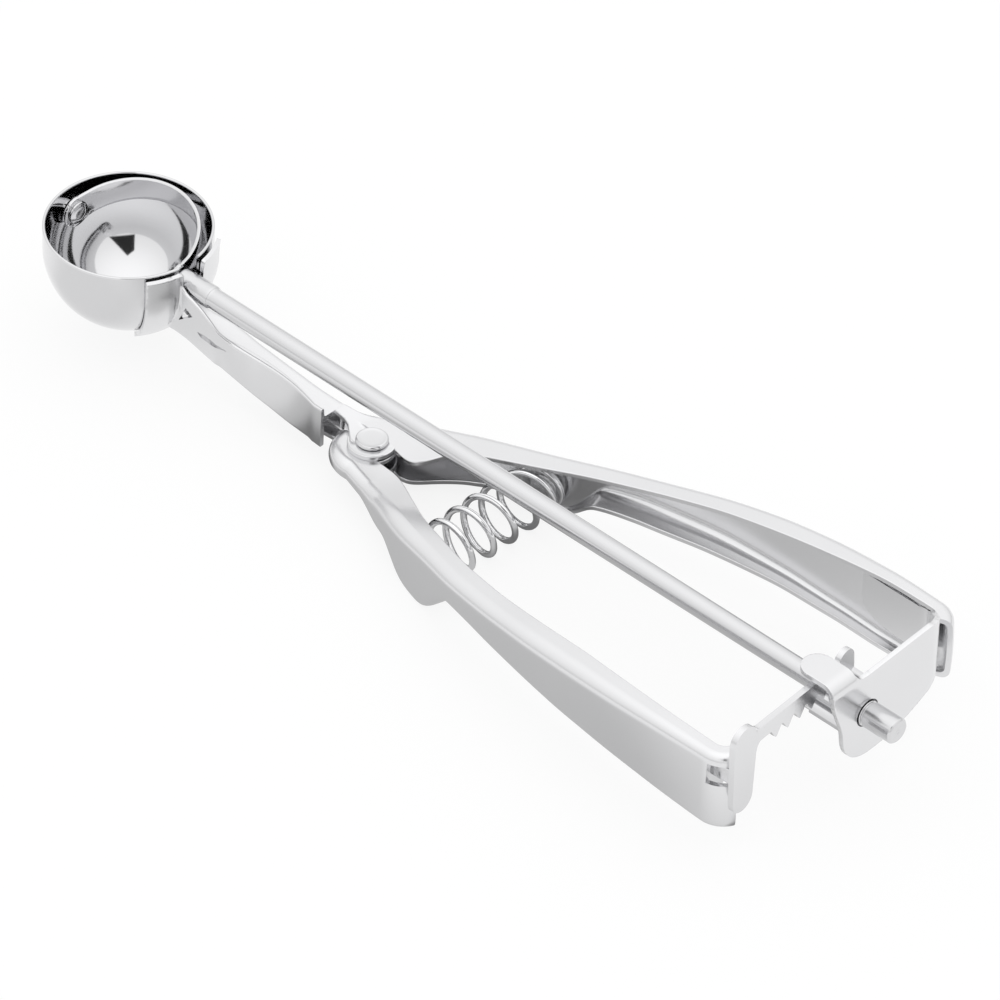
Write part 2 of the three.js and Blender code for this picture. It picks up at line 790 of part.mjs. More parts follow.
function seatBoss(wall) {
  const boss = new THREE.CylinderGeometry(seatBossRadius, seatBossRadius, seatBossHeight + sheet / 2, roundSteps);
  boss.translate(0, -sheet / 2 - (seatBossHeight + sheet / 2) / 2, 0);
  boss.rotateZ(Math.atan(wall.slope));
  boss.translate(springX, wall.y, -seatDrop);
  return boss;
}

const frameTopZ = -pivotDrop;
const frameBottomZ = frameTopZ - frameNeckHeight;

// Saddle: a pressed sheet that follows the back of the bowl

function makeSaddle() {
  const inner = bowlRadius + fitGap;
  const outer = inner + saddleWall;
  const top = rimHeight - saddleRimDrop;
  const profile = [new THREE.Vector2(inner, top), new THREE.Vector2(outer, top)].reverse();
  const rings = bowlRings;
  const outside = [];
  const inside = [];
  for (let ring = 0; ring <= rings; ring += 1) {
    const angle = (ring / rings) * radians(saddleTipAngle);
    outside.push(new THREE.Vector2(outer * Math.cos(angle), -outer * Math.sin(angle)));
    inside.push(new THREE.Vector2(inner * Math.cos(angle), -inner * Math.sin(angle)));
  }
  const closed = [...inside.toReversed(), profile[1], profile[0], ...outside];
  closed.push(closed[0].clone());
  const span = 2 * radians(saddleHalfAngle);
  const ringsOut = [];
  const steps = bowlSteps / 4;
  for (let step = 0; step <= steps; step += 1) {
    const angle = -span / 2 + (step / steps) * span;
    ringsOut.push(closed.slice(0, -1).map((point) => new THREE.Vector3(
      point.x * Math.cos(angle),
      point.x * Math.sin(angle),
      point.y,
    )));
  }
  const shell = facingOut(loft(ringsOut, () => closed.slice(0, -1)));
  return cut(shell, rodSlot(0, outer + cutOverrun));
}

// Shank: an upside-down channel that flares into the saddle

const shankNearShares = [
  [0, 1.8], [0.07, 1.4], [0.16, 1.03], [0.34, 1.07], [0.52, 0.93], [0.67, 0.83], [0.79, 0.67], [1, 0.53],
];
const shankFarShares = [
  [0, 1.8], [0.07, 1.4], [0.16, 1.03], [0.34, 1], [0.52, 0.87], [0.67, 0.9], [0.82, 1.07], [0.94, 1.33], [1, 1.6],
];
const shankDropShares = [[0, 0], [0.08, 0.08], [0.21, 0.28], [0.35, 0.46], [0.63, 0.68], [0.89, 0.9], [1, 1]];
const shankHeightShares = [
  [0, 0.59], [0.07, 0.54], [0.12, 0.54], [0.2, 0.63], [0.34, 0.73], [0.45, 0.78], [0.59, 0.85],
  [0.75, 0.9], [0.9, 0.98], [1, 0.97],
];

function makeShank() {
  const nearAt = alongShares(shankNearShares);
  const farAt = alongShares(shankFarShares);
  const dropAt = alongShares(shankDropShares);
  const heightAt = alongShares(shankHeightShares);
  const steps = shankSteps;
  const sections = [];
  const rings = [];
  for (let step = 0; step <= steps; step += 1) {
    const share = step / steps;
    const x = THREE.MathUtils.lerp(shankRootX, shankOpeningX, share);
    const top = THREE.MathUtils.lerp(-shankRootDrop, -shankEndDrop, dropAt(share));
    const bottom = top - heightAt(share) * shankHeight;
    const innerCorner = shankCorner - sheet;
    const half = (edge) => {
      const outside = [];
      const inside = [];
      for (let arc = 0; arc <= cornerSteps; arc += 1) {
        const angle = (arc / cornerSteps) * (halfTurn / 2);
        const sine = Math.sin(angle);
        const drop = (radius) => top - shankCorner + radius * Math.cos(angle);
        outside.push([edge - shankCorner + shankCorner * sine, drop(shankCorner)]);
        inside.push([edge - shankCorner + innerCorner * sine, drop(innerCorner)]);
      }
      outside.push([edge + shankDraft, bottom]);
      inside.push([edge + shankDraft - sheet, bottom]);
      return [outside, inside];
    };
    const mirrored = (points) => points.map(([y, z]) => [-y, z]);
    const [far, farInside] = half(farAt(share) * shankHalfWidth);
    const [near, nearInside] = half(nearAt(share) * shankHalfWidth).map(mirrored);
    const section = [...near.reverse(), ...far, ...farInside.reverse(), ...nearInside];
    sections.push(section.map(([y, z]) => new THREE.Vector2(y, z)));
    rings.push(section.map(([y, z]) => new THREE.Vector3(x, y, z)));
  }
  const body = facingOut(loft(rings, (place) => sections[place]));
  const bowlRoom = new THREE.SphereGeometry(bowlRadius + fitGap + saddleWall / 2, bowlSteps, bowlRings * 2);
  return cut(body, bowlRoom);
}

function makeHandleFrame() {
  const stations = handleStations({
    reach: frameReach,
    spread: farSpreadShares,
    flange: frameFlangeShares,
    height: frameHeightShares,
    topZ: () => frameTopZ,
    rise: frameRise,
    neckHeight: frameNeckHeight,
    endHeight: frameEndHeight,
    fromShare: farSpreadShares[0][0],
    steps: handleSteps,
  });
  const handle = channel(stations);
  const upperEye = rodAlongZ(frameTopZ - sheet, frameTopZ, frameEyeRadius, pivotX, 0);
  const lowerEye = rodAlongZ(frameBottomZ, frameBottomZ + sheet, frameEyeRadius, pivotX, 0);
  const hole = rodAlongZ(
    frameBottomZ - cutOverrun,
    frameTopZ + cutOverrun,
    pivotRivetRadius + fitGap,
    pivotX,
    0,
  );
  const body = joined(handle, makeShank(), makeSaddle(), upperEye, lowerEye, seatBoss(frameWall));
  return cut(body, hole);
}

// Moving handle: the same channel, nested between the frame's flanges at the pivot

const nestDrop = sheet + fitGap;
const nearNeckHeight = frameNeckHeight - 2 * nestDrop;

function neckStations(first) {
  // The wall runs round the front of the eye, about the pivot
  const steps = cornerSteps * 3;
  const stations = [];
  const startAngle = radians(178);
  const endAngle = Math.atan2(first.point.y, first.point.x - pivotX) + radians(24);
  for (let step = 0; step < steps; step += 1) {
    const angle = THREE.MathUtils.lerp(startAngle, endAngle, step / steps);
    const outward = new THREE.Vector2(Math.cos(angle), Math.sin(angle));
    stations.push({
      point: new THREE.Vector2(pivotX, 0).addScaledVector(outward, neckWrapRadius),
      inward: outward.clone().negate(),
      flange: first.flange * 0.8,
      lowFlange: first.lowFlange * 0.8,
      lowCorner: handleCorner,
      top: first.top,
      bottom: first.bottom,
    });
  }
  return stations;
}

function makeSqueezeHandle() {
  const nestBlend = alongShares([[-0.12, 1], [0.06, 1], [0.15, 0], [1.1, 0]]);
  const run = handleStations({
    reach: squeezeReach,
    spread: nearSpreadShares,
    flange: nearFlangeShares,
    height: nearHeightShares,
    topZ: (share) => frameTopZ - nestBlend(share) * nestDrop,
    rise: squeezeRise,
    neckHeight: nearNeckHeight,
    endHeight: squeezeEndHeight,
    fromShare: nearSpreadShares[1][0],
    steps: handleSteps,
  });
  const stations = [...neckStations(run[0]), ...run];
  const wall = channel(stations);
  const top = frameTopZ - nestDrop;
  const bottom = frameBottomZ + nestDrop;
  const upperEye = rodAlongZ(top - sheet, top, innerEyeRadius, pivotX, 0);
  const lowerEye = rodAlongZ(bottom, bottom + sheet, innerEyeRadius, pivotX, 0);
  const hole = rodAlongZ(bottom - cutOverrun, top + cutOverrun, pivotRivetRadius + fitGap, pivotX, 0);
  const end = stations.at(-1).point;
  const slot = block(
    end.x - endCorner * 0.7,
    end.x + cutOverrun,
    end.y - tongueSlotRoom,
    end.y + endCorner,
    -tongueDrop - tongueHeight / 2 - tongueSlotRoom,
    -tongueDrop + tongueHeight / 2 + tongueSlotRoom,
  );
  const body = cut(joined(wall, upperEye, lowerEye, seatBoss(squeezeWall)), hole, slot);
  body.scale(1, -1, 1);
  body.index.array.reverse();
  body.translate(-pivotX, 0, 0);
  body.rotateZ(-radians(restSplay));
  body.translate(pivotX, 0, 0);
  return body;
}

// Rivet through both handles

function makePivotRivet() {
  const top = frameTopZ + fitGap;
  const bottom = frameBottomZ - fitGap;
  const profile = [
    [0, bottom - pivotHeadHeight],
    [pivotHeadRadius * 0.8, bottom - pivotHeadHeight],
    [pivotHeadRadius, bottom - pivotHeadHeight * 0.5],
    [pivotHeadRadius, bottom],
    [pivotRivetRadius, bottom],
    [pivotRivetRadius, top],
    [pivotHeadRadius, top],
    [pivotHeadRadius, top + pivotHeadHeight * 0.6],
    [pivotHeadRadius * 0.88, top + pivotHeadHeight],
    [pivotHeadRadius * 0.7, top + pivotHeadHeight * 0.8],
    [0, top + pivotHeadHeight * 0.7],
  ];
  const rivet = new THREE.LatheGeometry(profile.map(([radius, z]) => new THREE.Vector2(radius, z)), roundSteps);
  rivet.rotateX(halfTurn / 2);
  rivet.translate(pivotX, 0, 0);
  return rivet;
}

// Spring: one wire, its end turns closed and its ends run square to the seats

const springRadiusShares = [[0, 0.74], [0.15, 0.74], [0.27, 1], [0.75, 1], [0.87, 0.74], [1, 0.74]];

function springPath() {
  const inset = sheet + fitGap + springWire / 2;
  const farEnd = { y: frameWall.y - inset, slope: frameWall.slope };
  const nearSlope = -Math.tan(Math.atan(squeezeWall.slope) + radians(restSplay));
  const swing = Math.sin(radians(restSplay)) * (springX - pivotX);
  const nearEnd = { y: inset - squeezeWall.y - swing, slope: nearSlope };
  const radiusAt = alongShares(springRadiusShares);
  const steps = springTurns * curlSteps;
  const points = [];
  for (let step = 0; step <= steps; step += 1) {
    const share = step / steps;
    const radius = radiusAt(share) * springRadius;
    const turn = (share * springTurns + springPhase) * fullTurn;
    const x = radius * Math.cos(turn);
    const slope = THREE.MathUtils.lerp(nearEnd.slope, farEnd.slope, share);
    points.push(new THREE.Vector3(
      springX + x,
      THREE.MathUtils.lerp(nearEnd.y, farEnd.y, share) + slope * x,
      springWire / 2 - springBase + radius + radius * Math.sin(turn),
    ));
  }
  const beyond = (end, before) => end.clone().add(end.clone().sub(before).setLength(springWire));
  const first = beyond(points[0], points[1]);
  const last = beyond(points.at(-1), points.at(-2));
  return [first, ...points, last];
}

function wireAlong(points, wire) {
  const rings = [];
  const count = points.length;
  for (let place = 0; place < count; place += 1) {
    const before = points[Math.max(place - 1, 0)];
    const after = points[Math.min(place + 1, count - 1)];
    const along = new THREE.Vector3().subVectors(after, before).normalize();
    const axis = new THREE.Vector3(points[place].x - springX, 0, points[place].z + seatDrop).normalize();
    const across = new THREE.Vector3().crossVectors(along, axis).normalize();
    const out = new THREE.Vector3().crossVectors(across, along).normalize();
    const ring = [];
    for (let side = 0; side < wireSides; side += 1) {
      const angle = (side / wireSides) * fullTurn;
      ring.push(points[place].clone()
        .addScaledVector(out, Math.cos(angle) * wire / 2)
        .addScaledVector(across, Math.sin(angle) * wire / 2));
    }
    rings.push(ring);
  }
  const section = [];
  for (let side = 0; side < wireSides; side += 1) {
    const angle = (side / wireSides) * fullTurn;
    section.push(new THREE.Vector2(Math.cos(angle), Math.sin(angle)));
  }
  return facingOut(loft(rings, () => section));
}

function leastGap(points, wire) {
  let least = Infinity;
  for (let first = 0; first < points.length; first += 1) {
    for (let second = first + curlSteps / 2; second < points.length; second += 1) {
      least = Math.min(least, points[first].distanceTo(points[second]));
    }
  }
  return least - wire;
}

const springPoints = springPath();
console.log('least gap of the spring to itself, mm:', leastGap(springPoints, springWire).toFixed(2));

function makeSpring() {
  return wireAlong(springPoints, springWire);
}

// Assembly

const brushed = { color: 0xc9cacc, roughness: 0.32, metalness: 1 };
const polished = { color: 0xd6d7d9, roughness: 0.12, metalness: 1 };

function named(name, geometry, finish) {
  const mesh = new THREE.Mesh(geometry, new THREE.MeshStandardMaterial(finish));
  mesh.name = name;
  return mesh;
}

const scoop = new THREE.Group();
scoop.add(named('bowl', makeBowl(), polished));
scoop.add(named('handle_frame', makeHandleFrame(), brushed));
scoop.add(named('squeeze_handle', makeSqueezeHandle(), brushed));
scoop.add(named('pivot_rivet', makePivotRivet(), polished));
scoop.add(named('return_spring', makeSpring(), polished));
scoop.add(named('drive_rod', makeRod(), brushed));
scoop.add(named('pinion', makePinion(), brushed));
scoop.add(named('rack', makeRack(), brushed));
scoop.add(named('end_plate', makeEndPlate(), brushed));
scoop.add(named('scraper_blade', makeScraper(), polished));
scoop.add(named('scraper_rivet', makeScraperRivet(), polished));

// The object's own zero is the middle of its base
const reach = new THREE.Box3().setFromObject(scoop, true);
scoop.position.set(-(reach.min.x + reach.max.x) / 2, -(reach.min.y + reach.max.y) / 2, -reach.min.z);

export default scoop;
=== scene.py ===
# Dresses the packed ice cream scoop in smooth pressed and turned steel, with its camera and light.
# Sizes are in millimetres about the rod's axis, with the bowl's centre at zero, as in the CAD model.

import math
from contextlib import contextmanager

import bmesh
import bpy
import numpy as np
from mathutils import Matrix, Vector


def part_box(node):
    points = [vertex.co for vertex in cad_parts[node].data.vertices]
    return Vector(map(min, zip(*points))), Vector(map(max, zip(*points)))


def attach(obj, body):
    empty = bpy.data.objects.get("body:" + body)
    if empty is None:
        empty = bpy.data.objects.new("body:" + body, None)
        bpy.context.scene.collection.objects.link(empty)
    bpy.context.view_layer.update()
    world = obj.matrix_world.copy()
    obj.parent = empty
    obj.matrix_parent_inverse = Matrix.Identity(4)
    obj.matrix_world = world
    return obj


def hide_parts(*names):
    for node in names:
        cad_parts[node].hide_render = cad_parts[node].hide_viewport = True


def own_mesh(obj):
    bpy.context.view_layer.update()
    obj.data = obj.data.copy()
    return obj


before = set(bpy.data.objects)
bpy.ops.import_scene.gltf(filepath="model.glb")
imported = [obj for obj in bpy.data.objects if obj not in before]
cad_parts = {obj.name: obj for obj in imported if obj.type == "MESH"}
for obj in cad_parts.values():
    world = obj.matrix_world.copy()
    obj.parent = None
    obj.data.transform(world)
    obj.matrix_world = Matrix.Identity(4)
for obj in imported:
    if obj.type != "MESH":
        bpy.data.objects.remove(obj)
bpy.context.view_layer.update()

# Driving sizes

MM = 0.001
SHEET = 1.0
FIT_GAP = 0.3
LIP_RADIUS = 0.22
SHEET_BEVEL = 0.16
SADDLE_BEVEL = 0.14
SCRAPER_BEVEL = 0.12

BOWL_RADIUS = 16.0
BOWL_WALL = 0.6
RIM_HEIGHT = 4.8
ROD_RADIUS = 2.0
JOURNAL_RADIUS = 2.25
JOURNAL_LENGTH = 7.6

SCRAPER_RADIUS = 14.0
SCRAPER_WALL = 0.6
SCRAPER_WIDTH = 5.5
SCRAPER_EYE_RADIUS = 3.2
SCRAPER_REST_TILT = 14.0
TIP_RIVET_RADIUS = 1.4
TIP_HEAD_RADIUS = 2.3
TIP_HEAD_HEIGHT = 0.8
SCRAPER_EYE_BLEND = 1.6

SADDLE_WALL = 0.8
SADDLE_HALF_ANGLE = 34.0
SADDLE_RIM_DROP = 0.6
SADDLE_TIP_ANGLE = 60.0
SADDLE_FLARE = 0.35

SLOT_EDGE = 3.25
SLOT_EDGE_LIP = 0.7
SLOT_EDGE_RISE = 1.8
SLOT_EDGE_STATIONS = [
    (10, 2.75), (15.9, 2.75), (17.2, 1.1), (18.4, 0.2), (19.6, -0.1), (22.1, -1.2), (24.5, -2.7), (27, -4.5),
    (29, -5.6), (31, -6.2), (33, -6.5), (60, -6.5),
]
RELIEF_CORNERS = ((16.6, -6.4), (20.1, -3.8), (18.3, -2.7))
RECESS_CORNERS = ((21.4, -6.5), (24.3, -6.3), (28.4, -7.5), (25, -7.6), (22.2, -7.3))

SHANK_ROOT_X = 12.6
SHANK_OPENING_X = 53.2
SHANK_HALF_WIDTH = 3.0
SHANK_LOW_HALF_WIDTH = 3.3
SHANK_ROOT_DROP = 4.4
SHANK_END_DROP = 8.8
SHANK_HEIGHT = 6.8
SHANK_CORNER = 1.1

PIVOT_X = 63.0
PIVOT_DROP = 9.9
PIVOT_RADIUS = 1.9
PIVOT_HEAD_RADIUS = 3.1
PIVOT_HEAD_HEIGHT = 0.8
PIVOT_HEAD_GAP = 0.12
FRAME_EYE_RADIUS = 4.6
INNER_EYE_RADIUS = 4.6
NECK_WRAP_RADIUS = 7.6
NECK_HEIGHT = 6.6
NEST_DROP = SHEET + FIT_GAP

FRAME_REACH = 112.7
SQUEEZE_REACH = 109.5
HANDLE_SPREAD = 28.9
FRAME_RISE = 14.0
SQUEEZE_RISE = 13.2
FRAME_END_HEIGHT = 16.4
SQUEEZE_END_HEIGHT = 17.4
HANDLE_CORNER = 1.9
FLANGE_WIDTH = 3.9
END_CORNER = 6.0
END_TURN = 62.0
SQUEEZE_END_TURN = 64.0
REST_SPLAY = 0.75
WALL_CROWN = 0.3

SPRING_X = 90.5
SPRING_WIRE = 1.25
SPRING_TURNS = 7.5
SPRING_PHASE = 0.4
SPRING_COIL = 5.2
SPRING_ROOM = 0.5
SEAT_DROP = 13.7
LOBE_DROP = 18.9
LOBE_REACH = 12.0
LOBE_LIP = 1.15
BOSS_RADIUS = 2.8
NEAR_BOSS_RADIUS = 2.2
BOSS_HEIGHT = 1.3

TOOTH_MODULE = 1.05
ADDENDUM = 0.84
PINION_TEETH = 9
PRESSURE_ANGLE = 30.0
BACKLASH = 0.25
PINION_LENGTH = 9.2
STUB_RADIUS = 2.5
STUB_LENGTH = 6.9
GROOVE_RADIUS = 2.15
GROOVE_WIDTH = 0.35

RACK_SHEET = 1.2
HOOK_X = 178.9
HOOK_Y = -27.9
RACK_YAW = 3.2
RACK_TOP = 8.9
RACK_TEETH = 7
MESH_PHASE = -0.37
CROSSBAR_WIDTH = 6.1
CROSSBAR_LOW_WIDTH = 5.4
CROSSBAR_TOP = 11.3
CROSSBAR_BOTTOM = 7.8
TONGUE_LENGTH = 7.6
TONGUE_HEIGHT = 3.4
TONGUE_DROP = 1.2
SLOT_LIFT = 0.5
SLOT_SIDE = 0.6
LEAF_LOW = (-0.5, -8.2)
LEAF_HIGH = (3.8, 0.5)
LUG_WIDTH = 4.2
LUG_TOP = 11.0

PLATE_X = 182.4
PLATE_TOP = 10.0
PLATE_LOBE_DROP = 9.7
PLATE_REACH = 18.6
PLATE_BEND = 2.6
PLATE_STAND_OFF = 0.2
LEG_END_X = 158.8
LEG_TOP = 1.4
LEG_DROP = 8.8
TAB_LENGTH = 9.8
TAB_NEAR_EDGE = 9.3
TAB_FAR_EDGE = -3.1
TAB_BEND = 2.2
TAB_TOP = 10.8
TAB_FADE = 3.4

# Shares of the reach from the pivot, with the share of the size that each gives

FAR_SPREAD_SHARES = [
    (-0.12, 0.075), (-0.08, 0.116), (-0.028, 0.255), (0.032, 0.39), (0.114, 0.51), (0.265, 0.643),
    (0.356, 0.737), (0.466, 0.838), (0.575, 0.927), (0.685, 0.988), (0.795, 1.017), (0.904, 1.018),
    (1, 0.996),
]
NEAR_SPREAD_SHARES = [
    (0, 0.25), (0.055, 0.306), (0.128, 0.437), (0.192, 0.556), (0.265, 0.637), (0.356, 0.748), (0.466, 0.845),
    (0.575, 0.922), (0.685, 0.97), (0.795, 1.002), (0.904, 1.014), (1, 1.008),
]
RISE_SHARES = [
    (-0.12, 0.1), (-0.088, 0.07), (-0.062, 0), (0.05, 0), (0.114, 0.075), (0.265, 0.28), (0.356, 0.405),
    (0.466, 0.545), (0.575, 0.7), (0.685, 0.82), (0.795, 0.905), (0.904, 0.965), (1, 0.975), (1.08, 0.985),
]
FRAME_HEIGHT_SHARES = [
    (-0.12, 0), (0.02, 0), (0.055, 0.09), (0.107, 0.08), (0.366, 0.05), (0.43, 0.13), (0.545, 0.37),
    (0.652, 0.64), (0.768, 0.9), (0.884, 1.06), (0.97, 1.05), (1.01, 0.97), (1.035, 0.83), (1.047, 0.7),
]
NEAR_HEIGHT_SHARES = [
    (0, 0), (0.062, 0), (0.119, 0.22), (0.2, 0.22), (0.374, 0.21), (0.438, 0.27), (0.557, 0.45),
    (0.667, 0.63), (0.785, 0.768), (0.904, 0.895), (1, 0.96), (1.08, 0.97),
]
FRAME_FLANGE_SHARES = [
    (-0.12, 0.45), (-0.07, 0.8), (-0.03, 1.4), (0, 2.35), (0.018, 2.9), (0.045, 3.15), (0.06, 2.95),
    (0.0725, 2.6), (0.091, 2), (0.11, 1.66), (0.155, 1.6), (0.22, 1.45), (0.315, 1.24), (0.466, 1.15),
    (0.575, 1.2), (0.685, 1.27), (0.795, 1.17), (0.904, 0.93), (1, 0.8), (1.08, 0.8),
]
NEAR_FLANGE_SHARES = [
    (0, 1.3), (0.06, 1.85), (0.12, 1.66), (0.19, 1.5), (0.265, 1.38), (0.356, 1.28), (0.466, 1.25),
    (0.575, 1.3), (0.685, 1.32), (0.795, 1.18), (0.904, 1), (1, 0.87), (1.08, 0.87),
]
FAR_LOW_FLANGE_SHARES = [
    (-0.12, 0.8), (-0.07, 1), (-0.03, 1.3), (0, 2.3), (0.018, 2.9), (0.068, 2.1), (0.128, 1.7), (0.22, 1.65),
    (0.356, 1.37), (0.466, 1.4), (0.575, 1.3), (0.685, 1.06), (0.795, 0.95), (0.904, 0.9), (1.08, 0.8),
]
FAR_LOW_CORNER_SHARES = [(-0.12, 1.9), (0.3, 1.9), (0.45, 3.6), (0.6, 5), (0.9, 5), (0.98, 3), (1.08, 2)]
NEAR_TOP_CORNER_SHARES = [(-0.12, 2.8), (0.1, 2.8), (0.25, 2.8), (0.5, 3.1), (0.9, 3.1), (1.08, 2.8)]
NEST_SHARES = [(-0.12, 1), (0.06, 1), (0.15, 0), (1.1, 0)]
SHANK_NEAR_SHARES = [
    (0, 1), (0.13, 0.85), (0.23, 0.77), (0.31, 0.8), (0.43, 0.62), (0.57, 0.42), (0.68, 0.24), (0.79, 0.04),
    (0.91, -0.07), (1, -0.12),
]
SHANK_FAR_SHARES = [
    (0, 0.5), (0.1, 0.5), (0.165, 0.6), (0.3, 1.07), (0.47, 0.9), (0.66, 0.84), (0.85, 0.87), (1, 1.1),
]
SHANK_DROP_SHARES = [
    (0, 0), (0.133, 0.045), (0.28, 0.27), (0.453, 0.41), (0.675, 0.57), (0.82, 0.727), (1, 0.955),
]
SHANK_HEIGHT_SHARES = [
    (0, 0.78), (0.07, 0.73), (0.17, 0.743), (0.4, 0.878), (0.579, 0.99), (0.79, 1.04), (1, 0.97),
]
BRIDGE_CORNER = 0.8
BRIDGE_STATIONS = (
    (52.2, -0.3, 2.6, -8.5), (53.3, -0.35, 3.15, -8.63), (55.5, -0.4, 3.7, -9.1), (57, 0.1, 4.2, -9.4),
    (58.5, 1.4, 5, -9.65), (60, 2.6, 6, -9.8), (62, 2.8, 7, -9.9),
)
SPRING_RADIUS_SHARES = [(0, 0.8), (0.1, 0.84), (0.22, 1), (0.78, 1), (0.9, 0.84), (1, 0.8)]
SPRING_PITCH_SHARES = [(0, 0), (0.11, 0.05), (0.16, 0.09), (0.84, 0.91), (0.89, 0.95), (1, 1)]

# Mesh fineness

HANDLE_STEPS = 170
SHANK_STEPS = 60
ARC_STEPS = 6
FLAT_SHARES = (0.03, 0.2, 0.4, 0.6, 0.8, 0.97)
TURN_STEPS = 96
BOWL_STEPS = 192
WIRE_SIDES = 16
WIRE_TURN_STEPS = 40
NECK_STEPS = 36
END_STEPS = 24
BOSS_STEPS = 48
SHARP_ANGLE = math.radians(38)
WELD = 0.002
ROD_STEPS = 18
ROD_STEP = 8.0

# View of the photograph

IMAGE_SIZE = 1000
EYE_AZIMUTH = math.radians(45.2)
EYE_ELEVATION = math.radians(39.0)
EYE_DISTANCE = 1700.0
BOWL_CENTRE_PIXEL = (128.5, 244.3)
PIXELS_PER_MM = 5.39

# Light tent: the opening's edges as seen from the camera, and the painted shades that the steel sees in the
# floor

OPENING_EDGES = ((0.44, -4.43), (-6.92, 0.21), (-3.1, 3.97), (3.49, 3.29))
OPENING_SOFTNESS = 0.06
OPENING_LEVEL = 0.03
TENT_LEVELS = ((0, 0.8), (0.47, 0.8), (0.53, 0.72), (0.62, 0.95), (0.8, 1.07), (1, 1.3))
FLOOR_HALF_SIZE = 3.0
FLOOR_WHITE_SHARE = 0.85
PAINTED_SHADE_CORE = 0.7
PAINTED_SHADE_END = 1.35
# Painted shade: dark patches in the floor's glow below the handles, shank, pockets and slots, seen only in
# the steel's reflections
FLOOR_PAINTED_SHADES = (
    ((108.0, -15.0, 0.0), 71.0, 46.0, 0.56), ((0.0, -30.0, 0.0), 27.0, 20.0, 0.85),
    ((80.0, 7.0, 0.0), 26.0, 12.0, 0.2), ((47.0, -4.0, 0.0), 9.0, 7.0, 0.2),
    ((35.0, -9.0, 0.0), 12.0, 8.0, 0.7), ((171.0, 21.0, 0.0), 5.0, 6.0, 0.15),
    ((181.0, -24.0, 0.0), 5.0, 5.0, 0.3),
)

# The rod's axis and the bowl's centre, found in the frame

rod_low, rod_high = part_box("drive_rod")
bowl_low, bowl_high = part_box("bowl")
ORIGIN = Vector((
    bowl_low[0] + BOWL_RADIUS * MM,
    (rod_low[1] + rod_high[1]) / 2,
    (rod_low[2] + rod_high[2]) / 2,
))


def in_frame(point):
    return ORIGIN + Vector(point) * MM


# Steel finishes


def node_maker(tree):
    """Makes labelled nodes with their settings and the values of their inputs."""
    def make(kind, label, values=(), **settings):
        node = tree.nodes.new(kind)
        node.label = label
        for key, value in settings.items():
            setattr(node, key, value)
        for socket, value in dict(values).items():
            node.inputs[socket].default_value = value
        return node
    return make


def wire_up(tree, links):
    """Links nodes: each row gives a node, its output, the next node and its input."""
    for source, output, target, socket in links:
        tree.links.new(source.outputs[output], target.inputs[socket])


def steel(name, colour, roughness, grain_scale, grain_depth, tone_spread):
    """Stainless steel: a fine grain drawn along the piece, and a slow change of tone and polish."""
    finish = bpy.data.materials.new(name)
    finish.use_nodes = True
    tree = finish.node_tree
    make = node_maker(tree)
    shader = tree.nodes["Principled BSDF"]
    shader.inputs["Metallic"].default_value = 1
    place = make("ShaderNodeTexCoord", "place")
    grain_place = make("ShaderNodeMapping", "grain direction", {"Scale": grain_scale})
    grain = make("ShaderNodeTexNoise", "fine grain", {"Scale": 1, "Detail": 4, "Roughness": 0.6})
    slow = make("ShaderNodeTexNoise", "slow change", {"Scale": 60, "Detail": 2})
    tone = make("ShaderNodeMapRange", "tone", {"To Min": 1 - tone_spread, "To Max": 1})
    tint = make(
        "ShaderNodeMix", "steel colour", {"Factor": 1, "A": (*colour, 1)},
        data_type="RGBA", blend_type="MULTIPLY")
    polish = make("ShaderNodeMapRange", "polish", {"To Min": roughness * 0.8, "To Max": roughness * 1.25})
    bump = make("ShaderNodeBump", "grain depth", {"Strength": grain_depth, "Distance": 0.00003})
    wire_up(tree, (
        (place, "Object", grain_place, "Vector"),
        (grain_place, "Vector", grain, "Vector"),
        (place, "Object", slow, "Vector"),
        (slow, "Fac", tone, "Value"),
        (tone, "Result", tint, "B"),
        (tint, "Result", shader, "Base Color"),
        (grain, "Fac", polish, "Value"),
        (polish, "Result", shader, "Roughness"),
        (grain, "Fac", bump, "Height"),
        (bump, "Normal", shader, "Normal"),
    ))
    return finish


pressed_steel = steel("pressed satin steel", (0.80, 0.80, 0.81), 0.22, (260, 5200, 5200), 0.12, 0.05)
bowl_steel = steel("polished bowl steel", (0.74, 0.74, 0.75), 0.07, (3000, 3000, 3000), 0.04, 0.03)
turned_steel = steel("turned rod steel", (0.70, 0.70, 0.71), 0.18, (9000, 400, 400), 0.1, 0.02)
wire_steel = steel("bright spring wire", (0.86, 0.86, 0.87), 0.1, (900, 900, 900), 0.06, 0.03)


# Curves and outlines


def eased(shares, softness=0.02):
    """A smooth curve through a table of shares, carried on straight past both ends."""
    at = np.array([share[0] for share in shares], float)
    value = np.array([share[1] for share in shares], float)
    first = (value[1] - value[0]) / (at[1] - at[0])
    last = (value[-1] - value[-2]) / (at[-1] - at[-2])
    at = np.concatenate([[at[0] - 1], at, [at[-1] + 1]])
    value = np.concatenate([[value[0] - first], value, [value[-1] + last]])
    places = np.linspace(at[1] - 0.3, at[-2] + 0.3, 1601)
    step = places[1] - places[0]
    half = int(4 * softness / step)
    weights = np.exp(-0.5 * (np.arange(-half, half + 1) * step / softness) ** 2)
    weights /= weights.sum()
    wide = np.interp(np.arange(-half, len(places) + half) * step + places[0], at, value)
    drawn = np.convolve(wide, weights, mode="valid")
    return lambda share: float(np.interp(share, places, drawn))


def unit(vector):
    return vector / np.linalg.norm(vector)


def mixed(first, second, share):
    return first + (second - first) * share


def clamped(value):
    return min(1.0, max(0.0, value))


def arc(centre, radius, start, end, steps):
    """Points of an arc in degrees, both ends included."""
    angles = np.radians(np.linspace(start, end, steps + 1))
    return [(centre[0] + radius * math.cos(a), centre[1] + radius * math.sin(a)) for a in angles]


